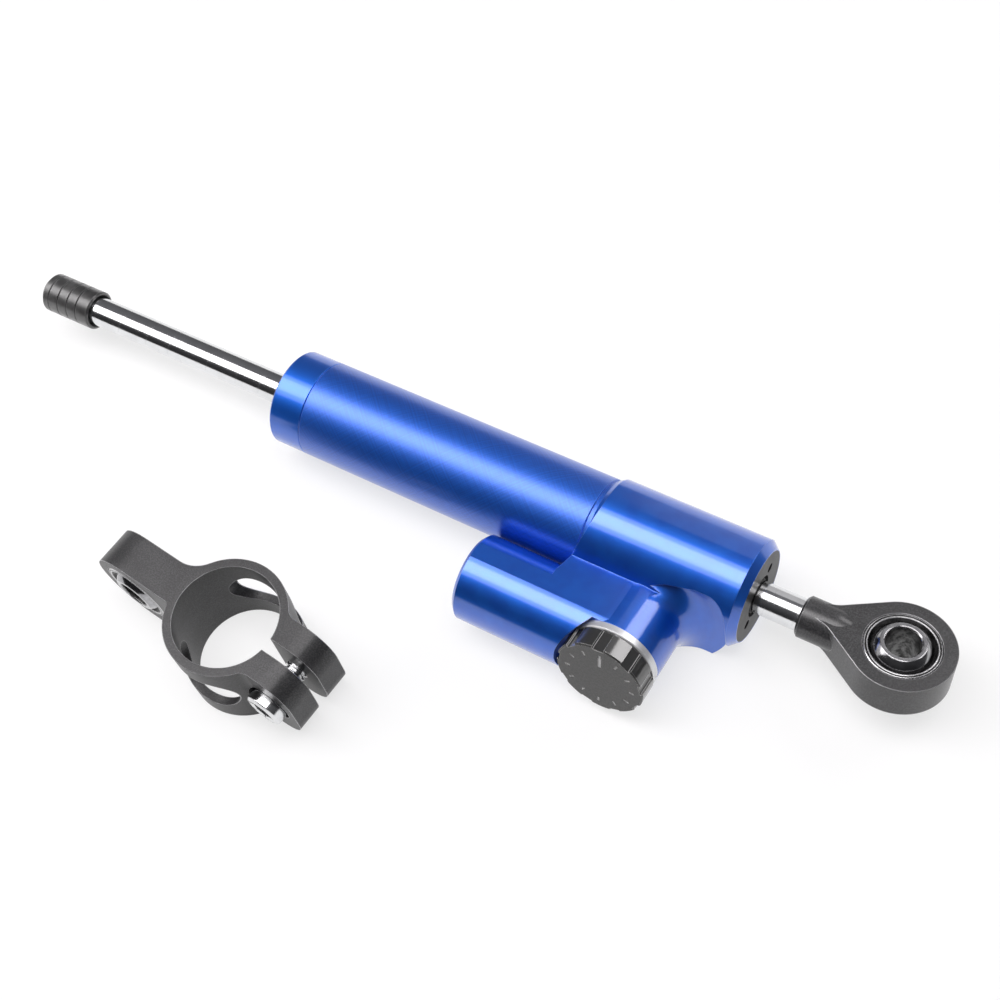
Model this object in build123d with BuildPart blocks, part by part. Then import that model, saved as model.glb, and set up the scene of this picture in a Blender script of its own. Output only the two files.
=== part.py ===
from build123d import *
import os
from math import acos, asin, atan2, cos, degrees, hypot, radians, sin

os.makedirs("parts", exist_ok=True)

# Lengths are in millimetres. The damper axis is X, the rod eye's ball centre is the origin.

# Fits and cuts
fit_gap = 0.02
slip_gap = 0.04
seat_gap = 0.05
overrun = 1.0

# Rod eye
ball_radius = 7.94
ball_width = 12.0
eye_bore_radius = 4.0
eye_bore_bevel = 0.35
race_radius = 8.9
race_width = 9.2
race_bevel = 0.35
race_dish_radius = 7.8
race_dish_foot = 7.1
race_dish_depth = 0.9
eye_radius = 12.2
eye_thickness = 9.0
neck_tip_reach = 20.5
neck_tip_half = 2.3
neck_bend_reach = 16.9
neck_bend_half = 3.2
eye_neck_round = 8.0
eye_runout_radius = 15.6
collar_radius = 5.1
collar_bevel = 0.6
collar_reach = 23.6
stud_radius = 3.0
stud_reach = 13.2

# Piston rod and what it carries
rod_radius = 4.0
rod_end_bevel = 0.4
front_rod_length = 11.0
rear_rod_length = 66.8
cap_length = 16.6
cap_radius = 5.35
cap_end_round = 1.1
cap_end_wall = 2.4
cap_mouth_radius = 4.6
cap_mouth_depth = 1.2
cap_mouth_round = 0.35
cap_rib_pitch = 3.2
cap_rib_count = 4
cap_rib_start = 4.1
cap_groove_width = 0.5
cap_groove_depth = 0.35
piston_place_share = 0.635
piston_length = 10.0
piston_gap = 0.2
piston_ring_width = 3.0
piston_ring_groove_depth = 1.3
bleed_hole_radius = 0.6
bleed_place_share = 0.6
bleed_hole_count = 4
clip_width = 0.8
clip_radius = 5.4
clip_groove_radius = 3.5
clip_mouth = 4.4

# Barrel
tube_radius = 12.5
tube_wall = 3.0
tube_length = 80.0
tube_edge_bevel = 0.2
neck_drop = 0.4
neck_length = 1.2
spigot_wall = 1.7
spigot_length = 10.0
spigot_groove_start = 4.0
spigot_groove_width = 1.6
spigot_groove_wall = 0.8
spigot_oring_section_radius = 0.44
end_band_length = 9.3
end_face_drop = 0.45
end_face_bevel = 0.45
end_spigot_length = 6.2
end_groove_start = 2.0
end_groove_width = 1.6
end_groove_depth = 1.1
end_oring_section_radius = 0.5
end_key_hole_radius = 1.0
end_key_hole_depth = 2.5
end_key_inset = 0.5
key_hole_count = 2

# Rod guides, seals and wipers
end_seal_bore_radius = 6.25
end_seal_bore_depth = 5.2
wiper_depth = 2.2
wiper_inset = 0.2
wiper_lip_width = 0.35
wiper_lip_height = 0.5
wiper_shoulder_width = 1.1
seal_notch_depth = 1.3
seal_lip_width = 0.7
end_bush_radius = 5.62
end_bush_length = 9.1
guide_lip_radius = 4.5
front_bush_radius = 6.0
front_bush_length = 13.0
front_seal_radius = 7.0
front_seal_length = 3.2
front_wiper_radius = 5.28
front_wiper_depth = 3.0
gland_plate_drop = 1.05
gland_plate_thickness = 1.2
gland_spigot_radius = 7.8
gland_spigot_length = 8.0
gland_key_hole_radius = 1.25
gland_key_hole_depth = 1.0
gland_key_circle_radius = 7.1
gland_key_angle = 42.0

# Head, web and side chamber
head_wall = 0.9
head_length = 40.4
head_bevel = 1.05
head_bevel_drop = 0.6
head_face_drop = 1.7
head_face_bevel = 1.9
chamber_reach = 22.65
chamber_drop = 7.3
chamber_radius = 11.0
chamber_bevel = 0.9
chamber_length = 40.3
flat_height = 3.45
web_rear_reach = 2.9
relief_reach = 1.6
relief_gap = 0.3
relief_radius = 18.7
gusset_reach = 1.8
gusset_height = 10.0
chamber_bore_radius = 8.2
chamber_bore_length = 26.7
plug_length = 6.2
plug_groove_start = 3.6
plug_groove_width = 1.6
plug_groove_radius = 7.1
plug_oring_section_radius = 0.5
plug_socket_flats = 6.0
plug_socket_depth = 3.2
plug_rim_radius = 5.6
plug_rim_depth = 0.5
gas_length = 10.0
float_length = 6.0
float_radius = 8.15
float_groove_start = 2.2
float_groove_width = 1.6
float_groove_radius = 7.1
float_oring_section_radius = 0.5
float_dish_radius = 5.5
float_dish_depth = 1.5

# Valve boss, its pocket and its passages
boss_reach = 23.3
boss_radius = 11.0
boss_height = 26.1
boss_inner = 5.0
pocket_floor = 9.3
pocket_radius = 21.4
pocket_rise = 4.3
pocket_top = 7.5
pocket_start = 3.7
pocket_shoulder_reach = 4.9
pocket_shoulder = 6.1
pocket_level_reach = 12.0
pocket_corner_round = 5.5
boss_root_round = 6.5
web_front_reach = 1.9
knob_recess_radius = 12.1
retainer_radius = 6.0
retainer_seat = 20.0
spindle_flange_radius = 5.0
spindle_flange_seat = 18.35
spindle_cup_radius = 4.0
spindle_cup_seat = 13.5
needle_room_length = 5.2
needle_room_width = 3.4
needle_seat = 9.8
port_radius = 1.2
port_end = 3.2
port_reach = 4.2
side_port_radius = 0.8
side_port_start_reach = 15.6
side_port_end_reach = 11.0

# Knob, bezel and valve
bezel_height = 1.9
bezel_bevel = 0.25
bezel_counterbore_radius = 7.25
bezel_counterbore_depth = 0.8
retainer_flange_radius = 7.2
spindle_radius = 3.0
spindle_top_gap = 0.9
spindle_thread_radius = 2.05
spindle_thread_length = 5.9
spindle_groove_start = 1.7
spindle_groove_width = 1.4
spindle_groove_radius = 3.1
spindle_oring_section_radius = 0.42
knob_radius = 11.2
knob_thickness = 5.7
knob_lift = 0.2
knob_bevel = 0.35
knob_lobe_count = 9
knob_lobe_angle = 13.4
knob_groove_width = 2.9
knob_groove_depth = 0.75
knob_groove_corner = 0.3
dial_radius = 8.9
dial_inner_radius = 7.6
dial_tick_width = 0.42
dial_tick_depth = 0.12
dial_tick_count = 12
dial_mark_length = 3.2
dial_mark_width = 0.7
dial_mark_start = 4.6
grub_radius = 1.25
grub_start = 3.05
grub_length = 5.6
grub_socket_flats = 1.3
grub_socket_depth = 1.4
needle_shank_radius = 2.0
needle_shank_base = 14.0
needle_shank_top = 18.6
needle_collar_top = 12.9
needle_collar_base = 11.0
needle_collar_length = 5.1
needle_collar_width = 3.32
needle_cone_radius = 1.65
needle_tip_radius = 0.4
needle_tip = 8.9
detent_ball_radius = 1.2
detent_circle_radius = 8.6
detent_lift = 0.3
detent_pocket_radius = 1.26
detent_pocket_depth = 5.0
detent_track_radius = 1.32
detent_pit_radius = 0.6
detent_pit_depth = 1.9
detent_pit_count = 20
detent_wire_radius = 0.2
detent_coil_radius = 0.95
detent_coil_count = 5
detent_seat_gap = 0.05

# Clamp, lying flat beside the damper
clamp_x = -141.0
clamp_y = -63.6
clamp_turn = -6.7
clamp_height = 23.5
clamp_bore_radius = 13.1
clamp_wall = 2.2
ear_distance = 30.3
ear_thickness = 10.0
ear_root_round = 8.0
ear_front_round = 1.2
clamp_race_width = 10.2
lug_reach = 25.5
lug_thickness = 17.0
lug_end_round = 8.0
lug_root_round = 3.5
clamp_gap = 3.2
window_length = 20.6
window_height = 12.0
bolt_distance = 17.5
bolt_radius = 3.0
bolt_hole_radius = 3.2
bolt_tip_reach = 8.0
bolt_head_radius = 5.0
bolt_head_height = 6.0
bolt_head_bevel = 0.5
bolt_head_top = 11.4
bolt_recess_radius = 5.7
bolt_socket_flats = 5.0
bolt_socket_depth = 3.0
bolt_tip_bevel = 0.6

# Radii that follow the tube
bore_radius = tube_radius - tube_wall
neck_radius = tube_radius - neck_drop
spigot_radius = bore_radius + spigot_wall
spigot_groove_radius = bore_radius + spigot_groove_wall
end_face_radius = tube_radius - end_face_drop
end_groove_radius = bore_radius - end_groove_depth
end_key_circle_radius = bore_radius - end_key_inset
head_radius = tube_radius + head_wall
head_face_radius = head_radius - head_face_drop
gland_plate_radius = tube_radius - gland_plate_drop
piston_radius = bore_radius - piston_gap
piston_ring_radius = bore_radius - fit_gap
piston_ring_groove_radius = piston_radius - piston_ring_groove_depth
bleed_room = piston_ring_groove_radius - rod_radius
bleed_circle_radius = rod_radius + bleed_room * bleed_place_share

# Places along the damper axis, from the rod eye backwards
collar_x = -collar_reach
plate_x = collar_x - front_rod_length
head_x = plate_x - head_length
neck_x = head_x - neck_length
band_x = neck_x - tube_length
end_x = band_x - end_band_length
cap_x = end_x - rear_rod_length
cap_end_x = cap_x - cap_length
spigot_x = head_x + spigot_length
end_spigot_x = band_x + end_spigot_length
gland_x = plate_x - gland_plate_thickness
gland_end_x = gland_x - gland_spigot_length
seal_x = gland_end_x - front_seal_length
bush_x = seal_x - front_bush_length
piston_front_x = neck_x - tube_length * piston_place_share
piston_x = piston_front_x - piston_length
boss_x = plate_x - boss_reach
chamber_x = boss_x - chamber_length
chamber_end_x = chamber_x + chamber_bore_length
plug_x = chamber_x + plug_length
float_x = plug_x + gas_length
web_x = head_x - web_rear_reach
web_end_x = plate_x - web_front_reach
relief_x = head_x - relief_reach
gusset_x = head_x - gusset_reach

# The head and the side chamber rest on one floor, so the whole damper leans by this angle
chamber_distance = hypot(chamber_reach, chamber_drop)
lie_angle = degrees(atan2(chamber_drop, chamber_reach) - asin((head_radius - chamber_radius) / chamber_distance))
lean_y = sin(radians(lie_angle))
lean_z = -cos(radians(lie_angle))

# Places along the valve axis, out from the damper axis
bezel_top = boss_height + bezel_height
knob_base = bezel_top + knob_lift
knob_top = knob_base + knob_thickness
detent_centre = bezel_top + detent_lift - detent_ball_radius + knob_lift

# Planes whose local X runs along each turned piece's own axis
damper_plane = Plane.XY
chamber_plane = Plane(origin=(0, -chamber_reach, -chamber_drop), x_dir=(1, 0, 0), z_dir=(0, 0, 1))
valve_plane = Plane(origin=(boss_x, 0, -chamber_drop), x_dir=(0, -1, 0), z_dir=(0, 0, 1))
eye_plane = Plane(origin=(0, 0, 0), x_dir=(0, 0, 1), z_dir=(0, -1, 0))

# The clamp's own planes: local X points to its ear, and the other two face along its bolt
clamp_angle = radians(clamp_turn)
to_ear = (-cos(clamp_angle), -sin(clamp_angle), 0)
to_front = (sin(clamp_angle), -cos(clamp_angle), 0)
clamp_centre = (clamp_x, clamp_y, clamp_height / 2 - head_radius)
clamp_plane = Plane(origin=clamp_centre, x_dir=to_ear, z_dir=(0, 0, 1))
clamp_side_plane = Plane(origin=clamp_centre, x_dir=to_ear, z_dir=to_front)
clamp_outer_radius = clamp_bore_radius + clamp_wall
clamp_ear_centre = clamp_plane.from_local_coords((ear_distance, 0, 0))
clamp_bolt_centre = clamp_plane.from_local_coords((-bolt_distance, 0, 0))
clamp_ball_plane = Plane(origin=clamp_ear_centre, x_dir=to_front, z_dir=(0, 0, 1))
bolt_plane = Plane(origin=clamp_bolt_centre, x_dir=to_front, z_dir=(0, 0, 1))
bolt_side_plane = Plane(origin=clamp_bolt_centre, x_dir=to_ear, z_dir=to_front)


def turned(points, plane=damper_plane):
    with BuildPart() as piece:
        with BuildSketch(plane):
            with BuildLine():
                Polyline(*points, close=True)
            make_face()
        revolve(axis=Axis(plane.origin, plane.x_dir))
    return piece.part


def o_ring(plane, along, inner_radius, section_radius):
    with BuildPart() as ring:
        with BuildSketch(plane):
            with Locations((along, inner_radius + section_radius)):
                Circle(section_radius)
        revolve(axis=Axis(plane.origin, plane.x_dir))
    return ring.part


def sleeve(start, end, inner_radius, outer_radius, plane=damper_plane):
    return turned(
        [(start, inner_radius), (start, outer_radius), (end, outer_radius), (end, inner_radius)],
        plane,
    )


def write(piece, name, lean=True):
    laid = piece.rotate(Axis.X, -lie_angle) if lean else piece
    laid.label = name
    export_step(laid, f"parts/{name}.step")


def spherical_ball(plane):
    with BuildPart() as ball:
        with BuildSketch(plane):
            Circle(ball_radius)
            Rectangle(ball_width, ball_radius, align=(Align.CENTER, Align.MIN), mode=Mode.INTERSECT)
            Rectangle(ball_width, eye_bore_radius, align=(Align.CENTER, Align.MIN), mode=Mode.SUBTRACT)
        revolve(axis=Axis(plane.origin, plane.x_dir))
        bore_edges = ball.edges().filter_by(GeomType.CIRCLE).sort_by(SortBy.RADIUS)[:2]
        chamfer(bore_edges, eye_bore_bevel)
    return ball.part


def race(plane, width):
    with BuildPart() as ring:
        with BuildSketch(plane):
            Rectangle(width, race_radius, align=(Align.CENTER, Align.MIN))
            Circle(ball_radius + fit_gap, mode=Mode.SUBTRACT)
            with BuildLine():
                Polyline(
                    (width / 2, race_dish_radius),
                    (width / 2 + overrun, race_dish_radius),
                    (width / 2 + overrun, 0),
                    (width / 2 - race_dish_depth, 0),
                    (width / 2 - race_dish_depth, race_dish_foot),
                    close=True,
                )
            dish = make_face(mode=Mode.PRIVATE)
            add([dish, dish.mirror(Plane.YZ)], mode=Mode.SUBTRACT)
        revolve(axis=Axis(plane.origin, plane.x_dir))
        rim_edges = ring.edges().filter_by(GeomType.CIRCLE).sort_by(SortBy.RADIUS)[-2:]
        chamfer(rim_edges, race_bevel)
    return ring.part


def eye_neck_points():
    distance = hypot(neck_bend_reach, neck_bend_half)
    angle = atan2(neck_bend_half, neck_bend_reach) + acos(eye_radius / distance)
    tangent = (-eye_radius * cos(angle), eye_radius * sin(angle))
    side = [(-neck_tip_reach, neck_tip_half), (-neck_bend_reach, neck_bend_half), tangent]
    return side + [(x, -y) for x, y in reversed(side)]


def rod_eye_housing():
    with BuildPart() as housing:
        with BuildSketch(Plane.XY.offset(-eye_thickness / 2)):
            with BuildLine():
                Polyline(*eye_neck_points(), close=True)
            make_face()
            bends = vertices().filter_by(lambda v: abs(v.X + neck_bend_reach) < fit_gap)
            fillet(bends, eye_neck_round)
            Circle(eye_radius)
        extrude(amount=eye_thickness)
        add(eye_collar())
        with BuildSketch(Plane.XY):
            Circle(race_radius + fit_gap)
        extrude(amount=eye_thickness, both=True, mode=Mode.SUBTRACT)
        add(sleeve(collar_x - overrun, -stud_reach + seat_gap, 0, stud_radius + fit_gap), mode=Mode.SUBTRACT)
    return housing.part


def eye_collar():
    with BuildPart() as collar:
        add(turned([
            (collar_x, 0),
            (collar_x, collar_radius - collar_bevel),
            (collar_x + collar_bevel, collar_radius),
            (-race_radius, collar_radius),
            (-race_radius, 0),
        ]))
        with BuildSketch(Plane.XY.offset(eye_thickness / 2), Plane.XY.offset(-eye_thickness / 2 - overrun)):
            Circle(eye_runout_radius)
        extrude(amount=overrun, mode=Mode.SUBTRACT)
    return collar.part


def piston_rod():
    return turned([
        (cap_end_x + cap_end_wall, 0),
        (cap_end_x + cap_end_wall, rod_radius - rod_end_bevel),
        (cap_end_x + cap_end_wall + rod_end_bevel, rod_radius),
        (piston_x - clip_width, rod_radius),
        (piston_x - clip_width, clip_groove_radius),
        (piston_x, clip_groove_radius),
        (piston_x, rod_radius),
        (piston_front_x, rod_radius),
        (piston_front_x, clip_groove_radius),
        (piston_front_x + clip_width, clip_groove_radius),
        (piston_front_x + clip_width, rod_radius),
        (collar_x, rod_radius),
        (collar_x, stud_radius),
        (-stud_reach, stud_radius),
        (-stud_reach, 0),
    ])


def piston():
    groove_x = piston_x + (piston_length - piston_ring_width) / 2
    with BuildPart() as body:
        add(turned([
            (piston_x, rod_radius + fit_gap),
            (piston_x, piston_radius),
            (groove_x, piston_radius),
            (groove_x, piston_ring_groove_radius),
            (groove_x + piston_ring_width, piston_ring_groove_radius),
            (groove_x + piston_ring_width, piston_radius),
            (piston_front_x, piston_radius),
            (piston_front_x, rod_radius + fit_gap),
        ]))
        with BuildSketch(Plane.YZ.offset(piston_x)):
            with PolarLocations(bleed_circle_radius, bleed_hole_count):
                Circle(bleed_hole_radius)
        extrude(amount=piston_length, mode=Mode.SUBTRACT)
    return body.part


def piston_ring():
    start = piston_x + (piston_length - piston_ring_width) / 2 + seat_gap
    end = start + piston_ring_width - seat_gap - seat_gap
    return sleeve(start, end, piston_ring_groove_radius + fit_gap, piston_ring_radius)


def piston_clip(start):
    with BuildPart() as clip:
        add(sleeve(start, start + clip_width, clip_groove_radius + fit_gap, clip_radius))
        with BuildSketch(Plane.YZ.offset(start)):
            Rectangle(clip_mouth, clip_radius + overrun, align=(Align.CENTER, Align.MIN))
        extrude(amount=clip_width, mode=Mode.SUBTRACT)
    return clip.part


def rubber_end_cap():
    points = [
        (cap_end_x, 0),
        (cap_end_x, cap_radius - cap_end_round),
        (cap_end_x + cap_end_round, cap_radius),
    ]
    for rib in reversed(range(cap_rib_count)):
        middle = cap_x - cap_rib_start - rib * cap_rib_pitch
        points += [
            (middle - cap_groove_width / 2, cap_radius),
            (middle, cap_radius - cap_groove_depth),
            (middle + cap_groove_width / 2, cap_radius),
        ]
    points += [
        (cap_x - cap_mouth_round, cap_radius),
        (cap_x, cap_radius - cap_mouth_round),
        (cap_x, cap_mouth_radius),
        (cap_x - cap_mouth_depth, rod_radius + fit_gap),
        (cap_end_x + cap_end_wall, rod_radius + fit_gap),
        (cap_end_x + cap_end_wall, 0),
    ]
    return turned(points)


def barrel_tube():
    groove_x = head_x + spigot_groove_start
    return turned([
        (band_x, bore_radius),
        (band_x, tube_radius - tube_edge_bevel),
        (band_x + tube_edge_bevel, tube_radius),
        (neck_x - tube_edge_bevel, tube_radius),
        (neck_x, tube_radius - tube_edge_bevel),
        (neck_x, neck_radius),
        (head_x, neck_radius),
        (head_x, spigot_radius),
        (groove_x, spigot_radius),
        (groove_x, spigot_groove_radius),
        (groove_x + spigot_groove_width, spigot_groove_radius),
        (groove_x + spigot_groove_width, spigot_radius),
        (spigot_x, spigot_radius),
        (spigot_x, bore_radius),
    ])


def barrel_end_gland():
    groove_x = band_x + end_groove_start
    spigot_outer = bore_radius - seat_gap
    seal_end_x = end_x + end_seal_bore_depth
    bush_end_x = seal_end_x + end_bush_length
    with BuildPart() as gland:
        add(turned([
            (end_x, end_seal_bore_radius),
            (end_x, end_face_radius),
            (end_x + end_face_bevel, tube_radius),
            (band_x - tube_edge_bevel, tube_radius),
            (band_x, tube_radius - tube_edge_bevel),
            (band_x, spigot_outer),
            (groove_x, spigot_outer),
            (groove_x, end_groove_radius),
            (groove_x + end_groove_width, end_groove_radius),
            (groove_x + end_groove_width, spigot_outer),
            (end_spigot_x, spigot_outer),
            (end_spigot_x, guide_lip_radius),
            (bush_end_x, guide_lip_radius),
            (bush_end_x, end_bush_radius + fit_gap),
            (seal_end_x, end_bush_radius + fit_gap),
            (seal_end_x, end_seal_bore_radius),
        ]))
        with BuildSketch(Plane.YZ.offset(end_x)):
            with PolarLocations(end_key_circle_radius, key_hole_count):
                Circle(end_key_hole_radius)
        extrude(amount=end_key_hole_depth, mode=Mode.SUBTRACT)
    return gland.part


def rod_wiper(face_x, back_x, outer_radius, outward):
    lip_x = face_x + outward * wiper_inset
    inner = rod_radius + fit_gap
    return turned([
        (back_x, inner),
        (back_x, outer_radius),
        (face_x, outer_radius),
        (face_x, outer_radius - wiper_lip_width),
        (face_x - outward * wiper_lip_height, outer_radius - wiper_shoulder_width / 2),
        (lip_x, inner + wiper_lip_width),
        (lip_x, inner),
    ])


def rod_seal(open_x, closed_x, outer_radius):
    inner = rod_radius + fit_gap
    notch = open_x + (seal_notch_depth if closed_x > open_x else -seal_notch_depth)
    return turned([
        (closed_x, inner),
        (closed_x, outer_radius),
        (open_x, outer_radius),
        (open_x, outer_radius - seal_lip_width),
        (notch, (outer_radius + inner) / 2),
        (open_x, inner + seal_lip_width),
        (open_x, inner),
    ])


def front_gland_nut():
    inner = guide_lip_radius
    recess = front_wiper_radius + fit_gap
    recess_x = plate_x - front_wiper_depth
    with BuildPart() as nut:
        add(turned([
            (plate_x, recess),
            (plate_x, gland_plate_radius),
            (gland_x, gland_plate_radius),
            (gland_x, gland_spigot_radius),
            (gland_end_x, gland_spigot_radius),
            (gland_end_x, inner),
            (recess_x, inner),
            (recess_x, recess),
        ]))
        with BuildSketch(Plane.YZ.offset(plate_x - gland_key_hole_depth)):
            with PolarLocations(gland_key_circle_radius, key_hole_count, start_angle=gland_key_angle):
                Circle(gland_key_hole_radius)
        extrude(amount=gland_key_hole_depth, mode=Mode.SUBTRACT)
    return nut.part


def floor_point(centre, radius):
    return (centre[0] + radius * lean_y, centre[1] + radius * lean_z)


def head_gusset():
    with BuildPart() as gusset:
        with BuildSketch(Plane.XZ):
            with BuildLine():
                Polyline(
                    (head_x + head_bevel, 0), (head_x + head_bevel, head_radius), (head_x, gusset_height),
                    (gusset_x, flat_height), (gusset_x, 0), close=True,
                )
            make_face()
        extrude(amount=head_radius)
        add(sleeve(gusset_x, head_x + head_bevel, 0, head_radius), mode=Mode.INTERSECT)
    return gusset.part


def web():
    head_floor = floor_point((0, 0), head_radius)
    chamber_floor = floor_point((-chamber_reach, -chamber_drop), chamber_radius)
    with BuildPart() as block:
        with BuildSketch(Plane.YZ.offset(web_x)):
            with BuildLine():
                Polyline(
                    (0, 0), (0, flat_height), (-chamber_reach, flat_height),
                    (-chamber_reach, -chamber_drop), chamber_floor, head_floor, close=True,
                )
            make_face()
        extrude(amount=web_end_x - web_x)
        with BuildSketch(Plane.XZ.offset(-head_radius)):
            with Locations((boss_x, -chamber_drop + pocket_rise)):
                Circle(pocket_radius)
                Rectangle(pocket_radius, pocket_radius + pocket_radius, align=(Align.MAX, Align.CENTER))
        extrude(amount=head_radius + chamber_reach, mode=Mode.INTERSECT)
        add(head_gusset())
        add(turned([
            (head_x, 0),
            (head_x, neck_radius + seat_gap),
            (neck_x + seat_gap, neck_radius + seat_gap),
            (neck_x + seat_gap, tube_radius + relief_gap),
            (relief_x, tube_radius + relief_gap),
            (web_x, relief_radius),
            (web_x - overrun, relief_radius),
            (web_x - overrun, 0),
        ]), mode=Mode.SUBTRACT)
    return block.part


def side_chamber():
    with BuildPart() as chamber:
        add(turned([
            (chamber_x, 0),
            (chamber_x, chamber_radius - chamber_bevel),
            (chamber_x + chamber_bevel, chamber_radius),
            (boss_x, chamber_radius),
            (boss_x, 0),
        ], chamber_plane))
        with BuildSketch(Plane.XY.offset(flat_height)):
            with Locations((chamber_x - overrun, -chamber_reach)):
                Rectangle(
                    chamber_length + boss_radius, chamber_radius + chamber_radius,
                    align=(Align.MIN, Align.CENTER),
                )
        extrude(amount=chamber_radius, mode=Mode.SUBTRACT)
    return chamber.part


def valve_boss():
    head_floor = floor_point((0, 0), head_radius)
    chamber_floor = floor_point((-chamber_reach, -chamber_drop), chamber_radius)
    with BuildPart() as boss:
        add(sleeve(boss_inner, boss_height, 0, boss_radius, valve_plane))
        with BuildSketch(Plane.YZ.offset(boss_x - boss_radius)):
            with BuildLine():
                Polyline(
                    head_floor, chamber_floor, (-boss_height, -chamber_drop - head_radius),
                    (0, -chamber_drop - head_radius), close=True,
                )
            make_face()
        extrude(amount=boss_radius + boss_radius, mode=Mode.SUBTRACT)
    return boss.part


def pocket():
    with BuildPart() as tool:
        with BuildSketch(Plane.XZ.offset(pocket_floor)):
            with Locations((boss_x, -chamber_drop + pocket_rise)):
                Circle(pocket_radius)
            with BuildLine():
                Polyline(
                    (boss_x, -chamber_drop - pocket_radius),
                    (boss_x, pocket_start),
                    (boss_x + pocket_shoulder_reach, pocket_shoulder),
                    (boss_x + pocket_level_reach, pocket_top),
                    (boss_x + pocket_radius + overrun, pocket_top),
                    (boss_x + pocket_radius + overrun, -chamber_drop - pocket_radius),
                    close=True,
                )
            make_face(mode=Mode.INTERSECT)
            top_corner = vertices().group_by(Axis.Y)[-1].sort_by(Axis.X)[-1]
            fillet(top_corner, pocket_corner_round)
        extrude(amount=boss_height - pocket_floor)
        with BuildSketch(valve_plane):
            with BuildLine():
                Polyline(
                    (pocket_floor - overrun, 0),
                    (pocket_floor - overrun, pocket_radius + overrun),
                    (pocket_floor, pocket_radius + overrun),
                    (pocket_floor, boss_radius),
                    (boss_height + overrun, boss_radius),
                    (boss_height + overrun, 0),
                    close=True,
                )
            make_face()
            root_corner = vertices().filter_by(
                lambda v: abs(v.X - pocket_floor) < fit_gap and abs(v.Y - boss_radius) < fit_gap)
            fillet(root_corner, boss_root_round)
        revolve(axis=Axis(valve_plane.origin, valve_plane.x_dir), mode=Mode.SUBTRACT)
    return tool.part


def side_port():
    start = (chamber_end_x, -side_port_start_reach, -chamber_drop)
    run = (boss_x - chamber_end_x, side_port_start_reach - side_port_end_reach, 0)
    length = hypot(run[0], run[1])
    with BuildPart() as drill:
        with BuildSketch(Plane(origin=start, z_dir=run).offset(-overrun)):
            Circle(side_port_radius)
        extrude(amount=length + overrun)
    return drill.part


def damper_body():
    bush_seat = front_bush_radius + fit_gap
    seal_seat = front_seal_radius + fit_gap
    gland_seat = gland_spigot_radius + seat_gap
    plate_seat = gland_plate_radius + seat_gap
    tube_seat = spigot_radius + seat_gap
    with BuildPart() as body:
        add(turned([
            (head_x, 0),
            (head_x, head_radius - head_bevel_drop),
            (head_x + head_bevel, head_radius),
            (plate_x - head_face_bevel, head_radius),
            (plate_x, head_face_radius),
            (plate_x, 0),
        ]))
        add(web())
        add(side_chamber())
        add(valve_boss())
        add(pocket(), mode=Mode.SUBTRACT)
        recess_top = boss_height + chamber_radius
        add(sleeve(boss_height, recess_top, 0, knob_recess_radius, valve_plane), mode=Mode.SUBTRACT)
        add(turned([
            (plate_x + overrun, 0),
            (plate_x + overrun, plate_seat),
            (gland_x, plate_seat),
            (gland_x, gland_seat),
            (gland_end_x, gland_seat),
            (gland_end_x, seal_seat),
            (seal_x, seal_seat),
            (seal_x, bush_seat),
            (bush_x, bush_seat),
            (bush_x, guide_lip_radius),
            (spigot_x, guide_lip_radius),
            (spigot_x, tube_seat),
            (head_x, tube_seat),
            (head_x, 0),
        ]), mode=Mode.SUBTRACT)
        add(sleeve(chamber_x, chamber_end_x, 0, chamber_bore_radius, chamber_plane), mode=Mode.SUBTRACT)
        add(turned([
            (boss_height + overrun, 0),
            (boss_height + overrun, retainer_radius + fit_gap),
            (retainer_seat, retainer_radius + fit_gap),
            (retainer_seat, spindle_flange_radius + seat_gap),
            (spindle_flange_seat, spindle_flange_radius + seat_gap),
            (spindle_flange_seat, spindle_cup_radius + slip_gap),
            (spindle_cup_seat, spindle_cup_radius + slip_gap),
            (spindle_cup_seat, 0),
        ], valve_plane), mode=Mode.SUBTRACT)
        with BuildSketch(Plane.XZ.offset(needle_seat)):
            with Locations((boss_x, -chamber_drop)):
                SlotOverall(needle_room_length, needle_room_width)
        extrude(amount=spindle_cup_seat - needle_seat, mode=Mode.SUBTRACT)
        add(sleeve(port_end, needle_seat, 0, port_radius, valve_plane), mode=Mode.SUBTRACT)
        with BuildSketch(Plane.YZ.offset(spigot_x)):
            with Locations((-port_reach, -chamber_drop)):
                Circle(port_radius)
        extrude(amount=boss_x - spigot_x, mode=Mode.SUBTRACT)
        add(side_port(), mode=Mode.SUBTRACT)
        with BuildSketch(Plane.XZ.offset(boss_height)):
            with Locations((boss_x, -chamber_drop + detent_circle_radius)):
                Circle(detent_pocket_radius)
        extrude(amount=-detent_pocket_depth, mode=Mode.SUBTRACT)
    return body.part


def chamber_plug():
    groove_x = chamber_x + plug_groove_start
    outer = chamber_bore_radius - seat_gap
    with BuildPart() as plug:
        add(turned([
            (chamber_x, 0),
            (chamber_x, outer),
            (groove_x, outer),
            (groove_x, plug_groove_radius),
            (groove_x + plug_groove_width, plug_groove_radius),
            (groove_x + plug_groove_width, outer),
            (plug_x, outer),
            (plug_x, 0),
        ], chamber_plane))
        add(sleeve(chamber_x, chamber_x + plug_rim_depth, 0, plug_rim_radius, chamber_plane), mode=Mode.SUBTRACT)
        with BuildSketch(Plane.YZ.offset(chamber_x)):
            with Locations((-chamber_reach, -chamber_drop)):
                RegularPolygon(plug_socket_flats / 2, 6, major_radius=False)
        extrude(amount=plug_socket_depth, mode=Mode.SUBTRACT)
    return plug.part


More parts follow.
